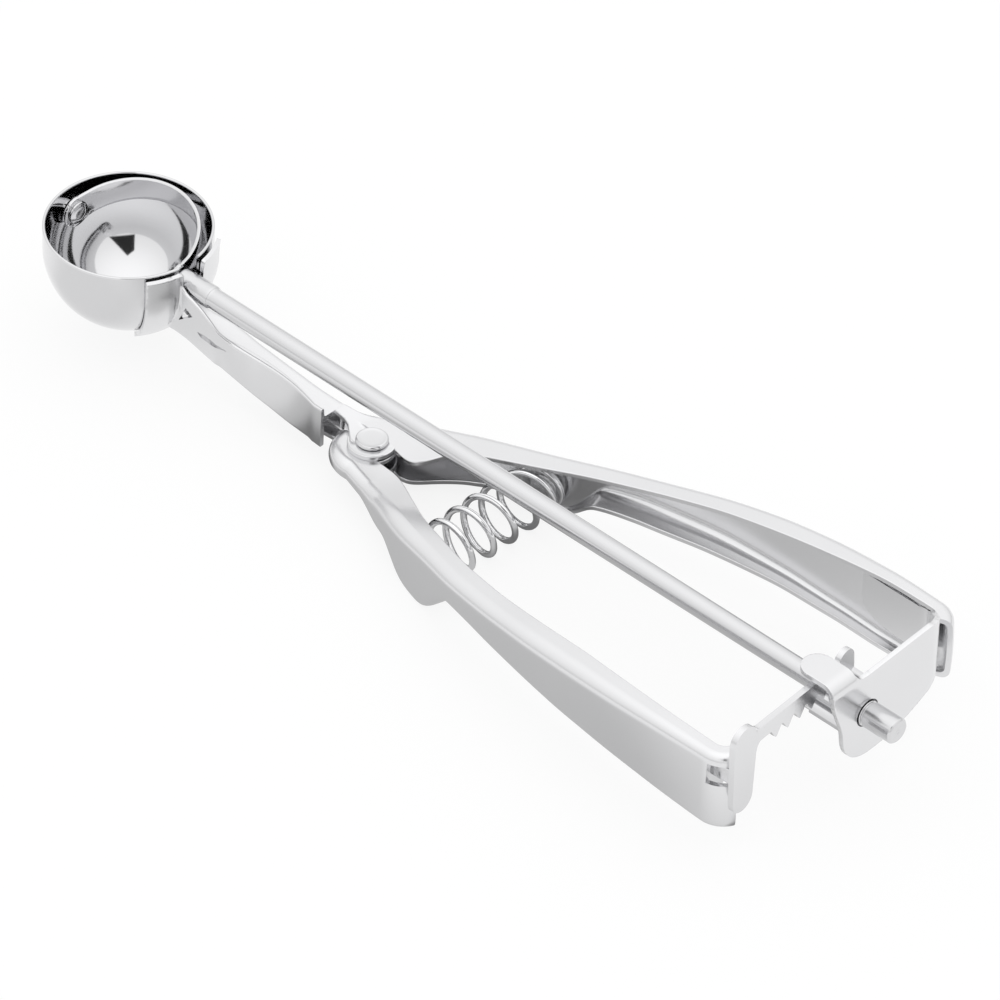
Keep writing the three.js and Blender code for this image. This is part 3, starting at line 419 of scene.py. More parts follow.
def bezier(points, steps):
    """A curve through control points, without its first point."""
    made = []
    for step in range(1, steps + 1):
        t = step / steps
        level = [np.array(point, float) for point in points]
        while len(level) > 1:
            level = [mixed(a, b, t) for a, b in zip(level, level[1:])]
        made.append(tuple(level[0]))
    return made


def rounded(corners, radii):
    """A closed outline with round corners and a fixed count of points."""
    count = len(corners)
    corners = [np.array(corner, float) for corner in corners]
    into, out = [], []
    for place, corner in enumerate(corners):
        back = corners[place - 1] - corner
        on = corners[(place + 1) % count] - corner
        near = min(radii[place], 0.48 * np.linalg.norm(back), 0.48 * np.linalg.norm(on))
        into.append(corner + unit(back) * near)
        out.append(corner + unit(on) * near)
    circle = 0.5523
    points = []
    for place, corner in enumerate(corners):
        first, last = into[place], out[place]
        curve = [first, mixed(first, corner, circle), mixed(last, corner, circle), last]
        points.append(tuple(first))
        points.extend(bezier(curve, ARC_STEPS))
        following = into[(place + 1) % count]
        points.extend(tuple(mixed(last, following, share)) for share in FLAT_SHARES)
    return points


# Pieces from meshes


@contextmanager
def edited(mesh):
    """Opens a mesh for editing and writes it back."""
    shape = bmesh.new()
    shape.from_mesh(mesh)
    yield shape
    shape.to_mesh(mesh)
    shape.free()


def welded(shape):
    bmesh.ops.remove_doubles(shape, verts=shape.verts, dist=WELD * MM)


def facing_out(shape):
    bmesh.ops.recalc_face_normals(shape, faces=shape.faces)


def placed(name, mesh):
    piece = bpy.data.objects.new(name, mesh)
    bpy.context.scene.collection.objects.link(piece)
    return piece


def piece_from(name, points, faces, finish):
    mesh = bpy.data.meshes.new(name)
    mesh.from_pydata([in_frame(point) for point in points], [], faces)
    with edited(mesh) as shape:
        welded(shape)
        facing_out(shape)
    mesh.materials.append(finish)
    return placed(name, mesh)


def skin(total, count, turned_round=False):
    """Faces between equal rings, each closed round itself, or open with the last joined to the first."""
    faces = []
    for ring in range(total if turned_round else total - 1):
        following = (ring + 1) % total
        for side in range(count - 1 if turned_round else count):
            turn = (side + 1) % count
            faces.append((
                ring * count + side, ring * count + turn, following * count + turn, following * count + side,
            ))
    return faces


def lofted(name, rings, finish):
    """A skin through equal rings, with flat ends."""
    count = len(rings[0])
    total = len(rings)
    ends = [tuple(range(count)), tuple(range((total - 1) * count, total * count))]
    points = [point for ring in rings for point in ring]
    return piece_from(name, points, skin(total, count) + ends, finish)


def lengthwise(a, b, along):
    return along, a, b


def upright(a, b, along):
    return a, b, along


def at_pivot(a, b, along):
    return PIVOT_X + a, b, along


def turned(name, profile, finish, place=lengthwise, steps=TURN_STEPS):
    """A turned piece: its profile gives (radius, place along the axis), and place sets each point."""
    points = []
    for step in range(steps):
        angle = step / steps * math.tau
        for radius, along in profile:
            points.append(place(radius * math.cos(angle), radius * math.sin(angle), along))
    return piece_from(name, points, skin(steps, len(profile), turned_round=True), finish)


def drill(radius, low, high, finish, place=lengthwise, steps=48):
    """A round cutter between two places along its axis."""
    return turned("hole", [(0, low), (radius, low), (radius, high), (0, high)], finish, place, steps)


def softened(profile, radius, steps=4):
    """Rounds the corners of a turned profile, with points that hold its flats flat."""
    points = [np.array(point, float) for point in profile]
    made = [tuple(points[0])]
    for before, corner, after in zip(points, points[1:], points[2:]):
        back = before - corner
        on = after - corner
        near = min(radius, 0.45 * np.linalg.norm(back), 0.45 * np.linalg.norm(on))
        start, end = corner + unit(back) * near, corner + unit(on) * near
        made += [tuple(corner + unit(back) * near * 1.2), tuple(start)]
        made += [*bezier([start, corner, end], steps), tuple(corner + unit(on) * near * 1.2)]
    made.append(tuple(points[-1]))
    return made


def final(piece):
    """Applies a piece's modifiers and smooths its faces, with an edge only where it turns sharply."""
    bpy.context.view_layer.update()
    graph = bpy.context.evaluated_depsgraph_get()
    done = bpy.data.meshes.new_from_object(piece.evaluated_get(graph))
    piece.modifiers.clear()
    piece.data = done
    with edited(done) as shape:
        welded(shape)
        bmesh.ops.dissolve_degenerate(shape, edges=shape.edges, dist=WELD / 2 * MM)
    done.shade_smooth()
    done.set_sharp_from_angle(angle=SHARP_ANGLE)
    return piece


def combined(base, parts, tools):
    """Joins parts to a base piece and takes tools away from it."""
    for others, operation in ((parts, "UNION"), (tools, "DIFFERENCE")):
        for other in others:
            change = base.modifiers.new(operation.lower(), "BOOLEAN")
            change.operation = operation
            change.object = other
            change.solver = "MANIFOLD"
    final(base)
    for other in [*parts, *tools]:
        bpy.data.objects.remove(other)
    return base


def block(low, high):
    points = [(x, y, z) for x in (low[0], high[0]) for y in (low[1], high[1]) for z in (low[2], high[2])]
    faces = [(0, 1, 3, 2), (4, 6, 7, 5), (0, 4, 5, 1), (2, 3, 7, 6), (0, 2, 6, 4), (1, 5, 7, 3)]
    return piece_from("block", points, faces, pressed_steel)


def edged(piece, width):
    """Rounds a piece's cut edges."""
    edge = piece.modifiers.new("edge", "BEVEL")
    edge.width = width * MM
    edge.segments = 2
    edge.limit_method = "ANGLE"
    edge.angle_limit = math.radians(50)
    edge.harden_normals = True
    return piece


def flat_pattern(name, outline, place, step, finish, thickness):
    """Sheet metal: an outline cut from flat sheet, bent by a rule in small steps and given its thickness."""
    mesh = bpy.data.meshes.new(name)
    low = np.min(outline, axis=0)
    high = np.max(outline, axis=0)
    with edited(mesh) as shape:
        shape.faces.new([shape.verts.new((x, y, 0)) for x, y in outline])
        for axis, normal in ((0, (1, 0, 0)), (1, (0, 1, 0))) if step else ():
            for at in np.arange(low[axis] + step[axis] / 2, high[axis], step[axis]):
                cut = [at if axis == 0 else 0, at if axis == 1 else 0, 0]
                geometry = [*shape.verts, *shape.edges, *shape.faces]
                bmesh.ops.bisect_plane(shape, geom=geometry, plane_co=cut, plane_no=normal, dist=0.03)
        for corner in shape.verts:
            corner.co = in_frame(place(corner.co.x, corner.co.y))
        welded(shape)
        facing_out(shape)
    mesh.materials.append(finish)
    piece = placed(name, mesh)
    wall = piece.modifiers.new("wall", "SOLIDIFY")
    wall.thickness = thickness * MM
    wall.offset = 0
    return piece


# Bowl


def rod_slot(from_x, to_x):
    half = JOURNAL_RADIUS + FIT_GAP
    top = RIM_HEIGHT + SHEET
    outline = [(half, top), *arc((0, 0), half, 0, -180, 24), (-half, top)]
    rings = [[(x, y, z) for y, z in outline] for x in (from_x, to_x)]
    return lofted("slot", rings, bowl_steel)


def make_bowl():
    inner = BOWL_RADIUS - BOWL_WALL
    quarter = np.linspace(0, math.pi / 2, 49)
    outside = [(BOWL_RADIUS * math.sin(a), -BOWL_RADIUS * math.cos(a)) for a in quarter]
    inside = [(inner * math.sin(a), -inner * math.cos(a)) for a in quarter[::-1]]
    round_rim = BOWL_WALL / 2
    rim_middle = (BOWL_RADIUS - round_rim, RIM_HEIGHT - round_rim)
    straights = np.linspace(0.1, 0.97, 6)
    up = [(BOWL_RADIUS, rim_middle[1] * share) for share in straights]
    down = [(inner, rim_middle[1] * share) for share in straights[::-1]]
    profile = [*outside, *up, *arc(rim_middle, round_rim, 0, 180, 8), *down, *inside]
    bowl = turned("scoop_bowl", profile, bowl_steel, upright, BOWL_STEPS)
    hole = drill(TIP_RIVET_RADIUS + FIT_GAP, -BOWL_RADIUS - 1, -1, bowl_steel, steps=32)
    return combined(bowl, [], [rod_slot(1, BOWL_RADIUS + 1), hole])


# Scraper


def make_scraper():
    half = SCRAPER_WIDTH / 2
    middle = SCRAPER_RADIUS - SCRAPER_WALL / 2
    run = math.pi * middle
    eye = SCRAPER_EYE_RADIUS
    reach = math.degrees(math.asin(half / eye))
    neck = eye * math.cos(math.radians(reach))
    blend = SCRAPER_EYE_BLEND
    opening = reach + 8
    outline = [
        *arc((0, 0), eye, opening, 360 - opening, 30),
        *bezier([(neck, -half), (neck + blend, -half)], 2),
        (run - neck - blend, -half),
        *arc((run, 0), eye, 180 + opening, 540 - opening, 30),
        (run - neck - blend, half),
        (neck + blend, half),
    ]

    def bent(along, across):
        angle = math.pi - along / middle
        x, y, z = middle * math.cos(angle), middle * math.sin(angle), across
        if along < 0 or along > run:
            # The eye's far side lies flat past the hoop's end
            y = along if along < 0 else run - along
            x = -middle if along < 0 else middle
        tilt = math.radians(SCRAPER_REST_TILT)
        return (x, y * math.cos(tilt) - z * math.sin(tilt), y * math.sin(tilt) + z * math.cos(tilt))

    hoop = flat_pattern("scraper_hoop", outline, bent, (0.5, 0.9), bowl_steel, SCRAPER_WALL)
    return final(edged(hoop, SCRAPER_BEVEL))


def make_scraper_rivet():
    seat = math.sqrt(BOWL_RADIUS ** 2 - TIP_HEAD_RADIUS ** 2) + 0.1
    inside = SCRAPER_RADIUS - SCRAPER_WALL
    head = TIP_HEAD_HEIGHT
    profile = [
        (0, -seat - head), (TIP_HEAD_RADIUS * 0.65, -seat - head * 0.85),
        (TIP_HEAD_RADIUS, -seat - head * 0.3), (TIP_HEAD_RADIUS, -seat),
        (TIP_RIVET_RADIUS, -seat), (TIP_RIVET_RADIUS, -inside),
        (TIP_HEAD_RADIUS, -inside), (TIP_HEAD_RADIUS, -inside + head * 0.5),
        (TIP_HEAD_RADIUS * 0.6, -inside + head), (0, -inside + head),
    ]
    return final(turned("scraper_pin", softened(profile, 0.3), bowl_steel, steps=64))


# Rod, pinion and stub

PINION_END_X = PLATE_X - FIT_GAP
PINION_START_X = PINION_END_X - PINION_LENGTH
STUB_END_X = PLATE_X + SHEET + FIT_GAP + STUB_LENGTH
PITCH_RADIUS = TOOTH_MODULE * PINION_TEETH / 2
TOOTH_PITCH = math.pi * TOOTH_MODULE


def make_rod():
    start = SCRAPER_RADIUS + FIT_GAP
    head_x = SCRAPER_RADIUS - SCRAPER_WALL - FIT_GAP
    profile = [
        (0, head_x - 0.6), (1.2, head_x - 0.6), (2, head_x - 0.3), (2, head_x), (1.3, head_x), (1.3, start),
        (JOURNAL_RADIUS, start), (JOURNAL_RADIUS, start + JOURNAL_LENGTH),
        (ROD_RADIUS, start + JOURNAL_LENGTH + 0.5),
        *[(ROD_RADIUS, start + JOURNAL_LENGTH + ROD_STEP * step) for step in range(1, ROD_STEPS + 1)],
        (ROD_RADIUS, PINION_END_X - FIT_GAP), (0, PINION_END_X - FIT_GAP),
    ]
    return final(turned("turning_rod", softened(profile, 0.25), turned_steel))


def involute(base, radius, start):
    roll = math.sqrt(max(0.0, (radius / base) ** 2 - 1))
    angle = start - (roll - math.atan(roll))
    return radius * math.cos(angle), radius * math.sin(angle)


def tooth_outline():
    """One tooth and half a gap on each side, about the pinion's axis."""
    pressure = math.radians(PRESSURE_ANGLE)
    tip = PITCH_RADIUS + ADDENDUM
    root = PITCH_RADIUS - ADDENDUM - FIT_GAP
    base = PITCH_RADIUS * math.cos(pressure)
    half = (TOOTH_PITCH - BACKLASH) / (4 * PITCH_RADIUS) + math.tan(pressure) - pressure
    radii = [root, *np.linspace(base, tip, 7)]
    rising = [involute(base, radius, half) for radius in radii]
    below = [(y, -z) for y, z in rising]
    edge = math.pi / PINION_TEETH
    gap_low = (root * math.cos(-edge), root * math.sin(-edge))
    gap_high = (root * math.cos(edge), root * math.sin(edge))
    return [(0, 0), gap_low, *below, *rising[::-1], gap_high]


def sized_tree(name, sizes):
    """A Geometry Nodes tree with its inputs by name, the node that gives them and the identifier of each."""
    tree = bpy.data.node_groups.new(name, "GeometryNodeTree")
    face = tree.interface
    face.new_socket("Geometry", in_out="INPUT", socket_type="NodeSocketGeometry")
    sockets = [
        face.new_socket(label, in_out="INPUT", socket_type="NodeSocket" + kind) for label, kind in sizes
    ]
    face.new_socket("Geometry", in_out="OUTPUT", socket_type="NodeSocketGeometry")
    given = node_maker(tree)("NodeGroupInput", "sizes")
    return tree, given, [socket.identifier for socket in sockets]


def drawn(piece, tree, values):
    """Gives a piece its tree, with the tree's inputs set by identifier."""
    change = piece.modifiers.new(tree.name, "NODES")
    change.node_group = tree
    for socket, value in values:
        change[socket] = value
    return final(piece)


def ring_of_teeth():
    """A tree that turns copies of one tooth about the shaft."""
    tree, given, sockets = sized_tree(
        "ring of teeth", (("Teeth", "Int"), ("Phase", "Float"), ("Finish", "Material")))
    make = node_maker(tree)
    points = make("GeometryNodePoints", "one point a tooth")
    place = make("GeometryNodeInputIndex", "tooth number")
    step = make("ShaderNodeMath", "share of a turn", operation="DIVIDE")
    angle = make("ShaderNodeMath", "angle", {1: math.tau}, operation="MULTIPLY_ADD")
    turn = make("ShaderNodeCombineXYZ", "turn about the shaft")
    copies = make("GeometryNodeInstanceOnPoints", "copies")
    real = make("GeometryNodeRealizeInstances", "real copies")
    weld = make("GeometryNodeMergeByDistance", "weld", {"Distance": 0.01 * MM})
    coat = make("GeometryNodeSetMaterial", "finish")
    out = make("NodeGroupOutput", "ring")
    wire_up(tree, (
        (given, "Teeth", points, "Count"),
        (place, "Index", step, 0),
        (given, "Teeth", step, 1),
        (step, 0, angle, 0),
        (given, "Phase", angle, 2),
        (angle, 0, turn, "X"),
        (points, 0, copies, "Points"),
        (given, "Geometry", copies, "Instance"),
        (turn, 0, copies, "Rotation"),
        (copies, 0, real, 0),
        (real, 0, weld, 0),
        (weld, 0, coat, "Geometry"),
        (given, "Finish", coat, "Material"),
        (coat, 0, out, 0),
    ))
    return tree, sockets


def make_pinion():
    # The tooth is drawn about the world's zero, because the tree turns its copies there
    outline = tooth_outline()
    mesh = bpy.data.meshes.new("teeth")
    count = len(outline)
    points = [(x * MM, y * MM, z * MM) for x in (PINION_START_X, PINION_END_X) for y, z in outline]
    faces = [tuple(range(count))[::-1], tuple(range(count, 2 * count))]
    faces += [(side, side + 1, side + 1 + count, side + count) for side in range(1, count - 1)]
    mesh.from_pydata(points, [], faces)
    teeth = placed("teeth", mesh)
    tree, sockets = ring_of_teeth()
    phase = -MESH_PHASE / PINION_TEETH * math.tau + math.pi
    drawn(teeth, tree, zip(sockets, (PINION_TEETH, phase, turned_steel)))
    teeth.data.transform(Matrix.Translation(ORIGIN))
    with edited(teeth.data) as shape:
        facing_out(shape)
    chamfer = 0.35
    groove = PLATE_X + SHEET + FIT_GAP
    profile = softened([
        (0, PINION_END_X - SHEET), (STUB_RADIUS, PINION_END_X - SHEET), (STUB_RADIUS, groove),
        (GROOVE_RADIUS, groove + 0.1), (GROOVE_RADIUS, groove + GROOVE_WIDTH),
        (STUB_RADIUS, groove + GROOVE_WIDTH + 0.15), (STUB_RADIUS, STUB_END_X - chamfer),
        (STUB_RADIUS - chamfer, STUB_END_X), (0.55, STUB_END_X), (0.4, STUB_END_X - 0.12),
        (0, STUB_END_X - 0.2),
    ], 0.12)
    stub = turned("pinion_and_stub", profile, turned_steel)
    bore = drill(ROD_RADIUS + FIT_GAP / 2, PINION_START_X - SHEET, PINION_END_X - FIT_GAP, turned_steel)
    return combined(stub, [teeth], [bore])


# Rack


def rack_outline():
    slant = math.tan(math.radians(PRESSURE_ANGLE))
    tip = PITCH_RADIUS - ADDENDUM
    root = PITCH_RADIUS + ADDENDUM + FIT_GAP
    half = (TOOTH_PITCH - BACKLASH) / 4
    mesh_place = -HOOK_Y / math.cos(math.radians(RACK_YAW))
    lug = LUG_WIDTH / 2
    tail = mesh_place + lug + FIT_GAP / 2
    bar = CROSSBAR_WIDTH / 2
    low_bar = CROSSBAR_LOW_WIDTH / 2
    teeth = []
    for tooth in range(RACK_TEETH):
        middle = mesh_place + (tooth - RACK_TEETH + 1.5 + MESH_PHASE) * TOOTH_PITCH
        rise = (root - PITCH_RADIUS) * slant
        point = (PITCH_RADIUS - tip) * slant
        crown = half - point
        teeth += [
            (middle - half - rise, root),
            (middle - half + point * 0.8, tip + 0.25),
            *bezier([(middle - crown, tip), (middle, tip - 0.12), (middle + crown, tip)], 3),
            (middle + half - point * 0.8, tip + 0.25),
            (middle + half + rise, root),
        ]
    teeth = [point for point in teeth if point[0] > bar + 0.6]
    return [
        *arc((0, CROSSBAR_TOP - bar), bar, 0, 180, 16),
        *arc((0, low_bar - CROSSBAR_BOTTOM), low_bar, 180, 360, 16),
        *bezier([(bar, root - 3), (bar + 0.1, root - 0.3), (bar + 1.3, root)], 5),
        *teeth,
        (tail, root), (tail, RACK_TOP - lug),
        *arc((mesh_place, LUG_TOP - lug), lug, 0, 180, 16),
        (mesh_place - lug, RACK_TOP + 0.3),
        *bezier([(mesh_place - lug, RACK_TOP), (mesh_place - lug - 0.4, RACK_TOP)], 2),
        *bezier([(bar + 1.6, RACK_TOP), (bar + 0.3, RACK_TOP), (bar, RACK_TOP + 0.5)], 4),
    ]


def at_hook(along, across, back=0.0):
    """A place on the rack: along its strip from the hook, up, and back towards the bowl."""
    yaw = math.radians(RACK_YAW)
    return (
        HOOK_X - back * math.cos(yaw) - along * math.sin(yaw),
        HOOK_Y + along * math.cos(yaw) - back * math.sin(yaw),
        across,
    )


def make_rack():
    rack = flat_pattern("toothed_rack", rack_outline(), at_hook, None, pressed_steel, RACK_SHEET)
    half = RACK_SHEET / 2
    tall = TONGUE_HEIGHT / 2
    section = rounded([(-half, tall), (half, tall), (half, -tall), (-half, -tall)], [0.25] * 4)
    rings = [
        [at_hook(y, z - TONGUE_DROP, back) for y, z in section]
        for back in (-half * 0.2, TONGUE_LENGTH * 0.5, TONGUE_LENGTH - SHEET / 2)
    ]
    (left, low), (right, high) = LEAF_LOW, LEAF_HIGH
    corners = [(left, low), (right, low), (right, low / 2), (right / 3, high), (left, high)]
    leaf_section = rounded(corners, [0.8] * 5)
    leaf = lofted("leaf", [
        [at_hook(y, z, back) for y, z in leaf_section] for back in (TONGUE_LENGTH - SHEET, TONGUE_LENGTH)
    ], pressed_steel)
    return final(edged(combined(rack, [lofted("tongue", rings, pressed_steel), leaf], []), SHEET_BEVEL))


# End plate


def plan_path(corners, radius, steps=12):
    """A plan route with round bends, as a place for each distance along it."""
    corners = [np.array(corner, float) for corner in corners]
    points = [corners[0]]
    for before, corner, after in zip(corners, corners[1:], corners[2:]):
        start = corner + unit(before - corner) * radius
        end = corner + unit(after - corner) * radius
        points.append(start)
        points.extend(np.array(point) for point in bezier([start, corner, end], steps))
    points.append(corners[-1])
    lengths = np.concatenate([[0], np.cumsum([np.linalg.norm(b - a) for a, b in zip(points, points[1:])])])
    xs = [point[0] for point in points]
    ys = [point[1] for point in points]
    return lengths[-1], lambda at: (float(np.interp(at, lengths, xs)), float(np.interp(at, lengths, ys)))


def make_end_plate():
    middle_x = PLATE_X + SHEET / 2
    leg_y = HANDLE_SPREAD - SHEET - FIT_GAP - SHEET / 2 - PLATE_STAND_OFF
    bend_x = middle_x - (leg_y - PLATE_REACH)
    near = -PLATE_LOBE_DROP
    whole, route = plan_path(
        [(middle_x, near), (middle_x, PLATE_REACH), (bend_x, leg_y), (LEG_END_X, leg_y)], PLATE_BEND)
    drop = PLATE_LOBE_DROP
    low_corner = -drop * 0.43
    leg_bend = whole - (bend_x - LEG_END_X)
    reach = PLATE_REACH - near
    bend_length = TAB_BEND * math.pi / 2
    round_tab = (TAB_FAR_EDGE + TAB_NEAR_EDGE) / 2
    tab_middle = (TAB_FAR_EDGE - TAB_NEAR_EDGE) / 2 - near
    bend_start = TAB_TOP - SHEET / 2 - TAB_BEND
    tab_end = bend_start + bend_length + TAB_LENGTH - SHEET / 2 - TAB_BEND

    def from_y(y, z):
        return y - near, z

    outline = [
        *arc((tab_middle, tab_end - round_tab), round_tab, 0, 180, 20),
        from_y(-TAB_NEAR_EDGE, bend_start + 0.5),
        *bezier([
            from_y(-TAB_NEAR_EDGE, bend_start), from_y(-TAB_NEAR_EDGE, bend_start * 0.62),
            from_y(-TAB_NEAR_EDGE * 0.68, PLATE_TOP * 0.08), from_y(-drop * 0.64, -drop * 0.3)], 12),
        *bezier([
            from_y(-drop * 0.64, -drop * 0.3), from_y(-drop * 0.58, -drop * 0.86),
            from_y(-drop * 0.2, -drop), from_y(drop * 0.1, -drop)], 14),
        *bezier([
            from_y(drop * 0.1, -drop), from_y(drop * 0.7, -drop),
            from_y(PLATE_REACH * 0.6, -drop * 0.85), from_y(PLATE_REACH, low_corner)], 14),
        (leg_bend - 2, -LEG_DROP * 0.8), (leg_bend + 1, -LEG_DROP),
        *bezier([
            (leg_bend + 1, -LEG_DROP), (whole - 5, -LEG_DROP),
            (whole, -LEG_DROP), (whole, -LEG_DROP * 0.3)], 14),
        *bezier([(whole, 0), (whole, LEG_TOP), (whole - 1.2, LEG_TOP)], 5),
        (leg_bend + 2.6, LEG_TOP), (leg_bend - 0.8, LEG_TOP + 1.2),
        (reach + 1, PLATE_TOP - 0.8), (reach - 2.2, PLATE_TOP),
        from_y(TAB_FAR_EDGE + 3, PLATE_TOP * 0.9),
        *bezier([
            from_y(TAB_FAR_EDGE + 2, PLATE_TOP * 0.88), from_y(TAB_FAR_EDGE + 0.2, PLATE_TOP * 0.87),
            from_y(TAB_FAR_EDGE, PLATE_TOP * 0.87 + 1.6)], 6),
    ]

    def bent(along, up):
        x, y = route(along)
        if up < bend_start:
            return (x, y, up)
        # Beside the tab the bend dies out into the flat plate
        part = clamped((TAB_FAR_EDGE + TAB_FADE - y) / TAB_FADE)
        part = part * part * (3 - 2 * part)
        angle = clamped((up - bend_start) / bend_length) * math.pi / 2
        back = max(0.0, up - bend_start - bend_length)
        folded = (
            x - TAB_BEND * (1 - math.cos(angle)) - back,
            y,
            bend_start + TAB_BEND * math.sin(angle),
        )
        return tuple(mixed(a, b, part) for a, b in zip((x, y, up), folded))

    plate = flat_pattern("bent_end_plate", outline, bent, (0.45, 0.45), pressed_steel, SHEET)
    final(edged(plate, SHEET_BEVEL))
    hole = drill(STUB_RADIUS + FIT_GAP, PLATE_X - 2 * SHEET, PLATE_X + 3 * SHEET, pressed_steel, steps=64)
    return combined(plate, [], [hole])


# Handles


def lobe_share(x):
    away = abs(x - SPRING_X) / LOBE_REACH
    return 0.5 + 0.5 * math.cos(away ** 1.5 * math.pi) if away < 1 else 0.0


def channel_section(top, bottom, flange, low_flange, corner, low_corner):
    """A folded channel as points (distance inward, height), its wall slightly crowned."""
    inside = SHEET + LIP_RADIUS
    corners = [
        (flange, top), (0, top), (0, bottom), (low_flange, bottom), (low_flange, bottom + SHEET),
        (SHEET, bottom + SHEET), (SHEET, top - SHEET), (flange, top - SHEET),
    ]
    radii = [
        LIP_RADIUS, corner, low_corner, LIP_RADIUS, LIP_RADIUS,
        max(low_corner - SHEET, LIP_RADIUS), max(corner - SHEET, LIP_RADIUS), LIP_RADIUS,
    ]
    middle, half = (top + bottom) / 2, (top - bottom) / 2
    crowned = []
    for inward, height in rounded(corners, radii):
        part = clamped((inside + 1 - inward) / 1.2)
        bulge = WALL_CROWN * part * (1 - ((height - middle) / half) ** 2)
        crowned.append((inward - bulge, height))
    return crowned


def handle_stations(
        reach, spread, flange, low_flange, height, rise, end_height, neck_height, from_share, drop_at,
        corner, low_corner, end_turn):
    spread_at = eased(spread, 0.03)
    rise_at = eased(RISE_SHARES, 0.03)
    grow_at = eased(height, 0.016)
    flange_at = eased(flange, 0.016)
    low_flange_at = eased(low_flange, 0.016)

    def section(share, x):
        top = -PIVOT_DROP - drop_at(share) + rise_at(share) * rise
        bottom = top - mixed(neck_height, end_height, grow_at(share))
        lobe = lobe_share(x)
        low_width = low_flange_at(share) * FLANGE_WIDTH
        return (
            top,
            mixed(bottom, -LOBE_DROP, lobe),
            flange_at(share) * FLANGE_WIDTH,
            mixed(low_width, LOBE_LIP + FIT_GAP / 2, lobe),
            corner(share),
            mixed(low_corner(share), LOBE_LIP, lobe),
        )

    stations = []
    for share in np.linspace(from_share, 1, HANDLE_STEPS + 1):
        x = PIVOT_X + share * reach
        nudge = 0.004
        rise_y = (spread_at(share + nudge) - spread_at(share - nudge)) * HANDLE_SPREAD
        inward = np.array([rise_y / (2 * nudge * reach), -1.0])
        inward /= np.linalg.norm(inward)
        stations.append((np.array([x, spread_at(share) * HANDLE_SPREAD]), inward, section(share, x)))
    point, inward, _ = stations[-1]
    centre = point + inward * END_CORNER
    start = math.atan2(-inward[1], -inward[0])
    for step in range(1, END_STEPS + 1):
        angle = start - step / END_STEPS * math.radians(end_turn)
        outward = np.array([math.cos(angle), math.sin(angle)])
        place = centre + outward * END_CORNER
        share = 1 + (place[0] - point[0]) / reach
        stations.append((place, -outward, section(share, place[0])))
    return stations


def channel_rings(stations):
    return [[
        (point[0] + inward[0] * depth, point[1] + inward[1] * depth, z)
        for depth, z in channel_section(*section)
    ] for point, inward, section in stations]


def wall_at_spring(reach, spread):
    at = eased(spread, 0.03)
    share = (SPRING_X - PIVOT_X) / reach
    nudge = 0.01
    slope = (at(share + nudge) - at(share - nudge)) * HANDLE_SPREAD / (2 * nudge * reach)
    return at(share) * HANDLE_SPREAD, slope


frame_wall = wall_at_spring(FRAME_REACH, FAR_SPREAD_SHARES)
squeeze_wall = wall_at_spring(SQUEEZE_REACH, NEAR_SPREAD_SHARES)


def seat_boss(wall, boss_radius):
    """A pressed boss that centres the spring, square to the handle's wall."""
    wall_y, slope = wall
    root, tip = -SHEET / 2, -SHEET - BOSS_HEIGHT
    profile = softened([(0, root), (boss_radius, root), (boss_radius, tip), (0, tip)], 0.5)
    lean = math.atan(slope)

    def leaning(a, b, along):
        return (
            SPRING_X + a * math.cos(lean) - along * math.sin(lean),
            wall_y + a * math.sin(lean) + along * math.cos(lean),
            b - SEAT_DROP,
        )

    return turned("boss", profile, pressed_steel, leaning, BOSS_STEPS)


def eye_disc(low, high, radius):
    profile = softened([(0, low), (radius, low), (radius, high), (0, high)], LIP_RADIUS)
    return turned("eye", profile, pressed_steel, at_pivot, 72)


def pivot_hole(low, high):
    return drill(PIVOT_RADIUS + FIT_GAP, low, high, pressed_steel, at_pivot)


def make_shank():
    near_at = eased(SHANK_NEAR_SHARES, 0.03)
    far_at = eased(SHANK_FAR_SHARES, 0.03)
    drop_at = eased(SHANK_DROP_SHARES, 0.04)
    height_at = eased(SHANK_HEIGHT_SHARES, 0.03)
    edge_x = [station[0] for station in SLOT_EDGE_STATIONS]
    edge_z = [station[1] for station in SLOT_EDGE_STATIONS]
    rings = []
    for share in np.linspace(0, 1, SHANK_STEPS + 1):
        x = mixed(SHANK_ROOT_X, SHANK_OPENING_X, share)
        top = -mixed(SHANK_ROOT_DROP, SHANK_END_DROP, drop_at(share))
        bottom = top - height_at(share) * SHANK_HEIGHT
        far = far_at(share) * SHANK_HALF_WIDTH
        low = SHANK_LOW_HALF_WIDTH
        # The near edge rises towards the saddle, beside the rod
        edge = max(float(np.interp(x, edge_x, edge_z)), top + 0.05)
        raised = clamped((edge - top) / SLOT_EDGE_RISE)
        near = mixed(near_at(share) * SHANK_HALF_WIDTH, SLOT_EDGE, raised)
        lip = mixed(SHEET, SLOT_EDGE_LIP, raised)
        near_low = max(low, near + 0.3)
        corners = [
            (-near_low, bottom), (-near, edge), (lip - near, edge), (lip - near + 0.1, top),
            (far, top), (low, bottom), (low - SHEET, bottom), (far - SHEET, top - SHEET),
            (lip - near + 0.1, top - SHEET), (SHEET - near_low, bottom),
        ]
        inner = SHANK_CORNER - SHEET
        radii = [
            LIP_RADIUS, SHANK_CORNER, 0.4, 0.5, SHANK_CORNER,
            LIP_RADIUS, LIP_RADIUS, inner, inner, LIP_RADIUS,
        ]
        rings.append([(x, y, z) for y, z in rounded(corners, radii)])
    shank = lofted("shank", rings, pressed_steel)
    radius = BOWL_RADIUS + FIT_GAP + SADDLE_WALL / 2
    angles = np.linspace(0, math.pi, 49)
    ball = [(radius * math.sin(a), -radius * math.cos(a)) for a in angles]
    room = turned("room", ball, pressed_steel, upright)
    return combined(shank, [], [room])


